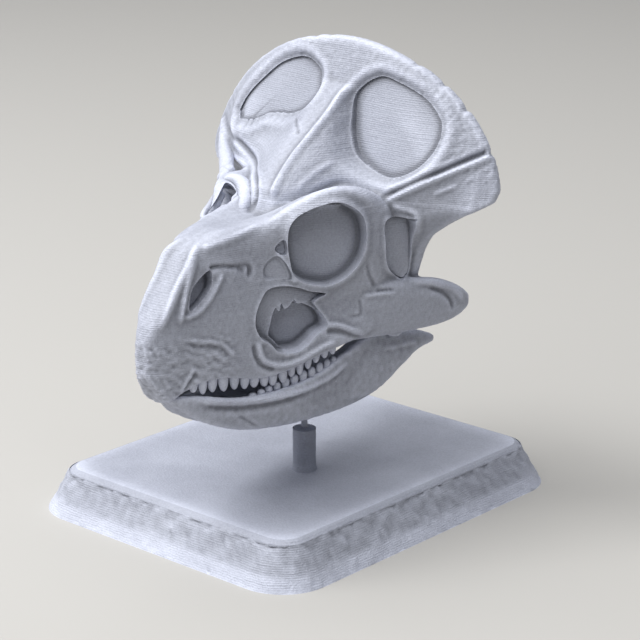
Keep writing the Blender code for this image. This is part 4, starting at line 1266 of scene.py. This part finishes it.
DARK = (0.31, 0.325, 0.385)
MATTE, LINE_HEIGHT, BUMP_DEPTH = 0.55, 0.20, 0.00018
SHARP_ANGLE = math.radians(38.0)
BLUR_ROUNDS, EASE_ROUNDS = 4, 2
SKULL_FINISH = printed_plastic("skull_plastic_finish", DARK, (0.41, 0.43, 0.50),
                               MATTE, LINE_HEIGHT, 0.7, BUMP_DEPTH)
STAND_FINISH = printed_plastic("stand_plastic_finish", DARK, (0.40, 0.42, 0.49),
                               MATTE, LINE_HEIGHT, 0.8, BUMP_DEPTH)


def store_painted_ridge_light(item, reach):
    """Stores how far each point stands out from its neighbours, eased over more of them."""
    mesh = item.data
    count = len(mesh.vertices)
    points, normals = mesh_points(item)
    ends = np.empty(2 * len(mesh.edges), int)
    mesh.edges.foreach_get("vertices", ends)
    first, second = ends.reshape(-1, 2).T
    links = np.maximum(np.bincount(ends, minlength=count), 1)

    def neighbour_mean(values):
        total = np.bincount(first, values[second], count)
        return (total + np.bincount(second, values[first], count)) / links

    blurred = points
    for _ in range(BLUR_ROUNDS):
        blurred = np.stack([neighbour_mean(blurred[:, axis]) for axis in range(3)], axis=1)
    stand = np.einsum("ij,ij->i", points - blurred, normals)
    for _ in range(EASE_ROUNDS):
        stand = 0.5 * stand + 0.5 * neighbour_mean(stand)
    level = np.clip(0.5 + 0.5 * stand / reach, 0.0, 1.0)
    # the painted highlight on ridges and painted shade in hollows are drawn from this value
    mesh.attributes.new("edge", "FLOAT", "POINT").data.foreach_set("value", level)


def finish(item, material, reach=0.10):
    """One material, smooth faces with sharp edges kept, and the edge value for painted light.
    """
    item.data.materials.clear()
    item.data.materials.append(material)
    item.data.shade_smooth()
    item.data.set_sharp_from_angle(angle=SHARP_ANGLE)
    store_painted_ridge_light(item, reach)


print("finishes:", SKULL_FINISH.name, STAND_FINISH.name)

# %% [markdown]
# A piece stays under 200,000 triangles, so the skull's skin is parted at one height into
# two closed pieces. A block takes the other half away from a copy of the skin, and both
# pieces meet on the same cut.

# %% Part the skull and finish every piece
PART_HEIGHT = 78.53
BLOCK_HALF, BLOCK_TOP = 90.0, 160.0     # a block that reaches past the skull all round


def without_crumbs(item):
    """Drops every part of a mesh but the largest one."""
    shape = bmesh.new()
    shape.from_mesh(item.data)
    unseen = set(shape.verts)
    parts = []
    while unseen:
        part = [unseen.pop()]
        for vert in part:
            beside = {edge.other_vert(vert) for edge in vert.link_edges} & unseen
            unseen -= beside
            part.extend(sorted(beside, key=lambda near: near.index))
        parts.append(part)
    parts.sort(key=len)
    crumbs = [vert for part in parts[:-1] for vert in part]
    bmesh.ops.delete(shape, geom=crumbs, context="VERTS")
    shape.to_mesh(item.data)
    shape.free()
    return item


def kept_half(item, name, keep_above):
    """A copy of the skin on one side of a level plane, closed along the cut."""
    piece = linked(name, item.data.copy())
    levels = (0.0, PART_HEIGHT) if keep_above else (PART_HEIGHT, BLOCK_TOP)
    corners = ((-1, -1), (1, -1), (1, 1), (-1, 1))
    block = [[(BLOCK_HALF * x, BLOCK_HALF * y, z) for x, y in corners] for z in levels]
    return boolean(piece, "DIFFERENCE", [grid_object("cutter", block)])


without_crumbs(skull)
skull_skin = kept_half(skull, "skull_skin", False)
frill_skin = kept_half(skull, "frill_skin", True)
discard([skull])
for piece in (skull_skin, frill_skin, jaw, upper_teeth, lower_teeth):
    finish(piece, SKULL_FINISH)
    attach(piece, "root")
for piece in (plinth, post, pin):
    finish(piece, STAND_FINISH, reach=0.3)
    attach(piece, "root")
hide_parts("snout", "face", "cheek_left", "cheek_right")
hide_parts("frill")
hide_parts("lower_jaw")
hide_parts("stand_base")
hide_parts("stand_post")
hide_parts("stand_pin")
for piece in (skull_skin, frill_skin, jaw, upper_teeth, lower_teeth, plinth, post, pin):
    piece.data.calc_loop_triangles()
    print(piece.name, len(piece.data.loop_triangles), "triangles")

# %% [markdown]
# ## Floor, light and camera
# A plain pale floor, a key light of moderate size from the upper left, a large soft light
# overhead that stands for an open sky, and a faint even glow from all round.

# %% The stage
bpy.ops.mesh.primitive_plane_add(size=6.0, location=(0.0, 0.0, 0.0))
floor = bpy.context.object
floor.name = "floor"
floor_paint = bpy.data.materials.new("floor_paint")
floor_paint.use_nodes = True
floor_shader = floor_paint.node_tree.nodes["Principled BSDF"]
floor_shader.inputs["Base Color"].default_value = (0.42, 0.41, 0.39, 1.0)
floor_shader.inputs["Roughness"].default_value = 0.85
floor.data.materials.append(floor_paint)


SKULL_MIDDLE = Vector((0.005, -0.01, 0.05))


def soft_light(name, place, size, power, colour):
    """A square area light aimed at the middle of the skull."""
    data = bpy.data.lights.new(name, "AREA")
    data.size = size
    data.energy = power
    data.color = colour
    lamp = linked(name, data)
    lamp.location = place
    aim = SKULL_MIDDLE - Vector(place)
    lamp.rotation_euler = aim.to_track_quat("-Z", "Y").to_euler()


WHITE = (1.0, 1.0, 1.0)
soft_light("key", (-0.34, -0.45, 0.82), 0.40, 6.5, WHITE)
soft_light("sky", (-0.12, -0.30, 1.05), 2.0, 26.0, WHITE)
world = bpy.data.worlds.new("studio")
bpy.context.scene.world = world
world.use_nodes = True
bpy.context.scene.view_settings.view_transform = "Standard"
glow = world.node_tree.nodes["Background"].inputs
glow["Color"].default_value = (0.86, 0.90, 1.0, 1.0)
glow["Strength"].default_value = 0.18
print("lights:", [item.name for item in bpy.data.lights])

# %% [markdown]
# The camera stands to the front left, a little above the skull, and looks down on it with
# a long lens, so the forms keep their proportions.

# %% The camera
AZIMUTH = math.radians(41.755)
ELEVATION = math.radians(17.570)
look = Vector((-math.sin(AZIMUTH) * math.cos(ELEVATION),
               math.cos(AZIMUTH) * math.cos(ELEVATION), -math.sin(ELEVATION)))
camera_data = bpy.data.cameras.new("camera")
camera_data.sensor_width = 36.0
camera_data.lens = 130.98
camera = linked("camera", camera_data)
camera.location = (0.3548, -0.3896, 0.2107)
camera.rotation_euler = look.to_track_quat("-Z", "Y").to_euler()
bpy.context.scene.camera = camera
print("lens:", camera_data.lens, "mm")
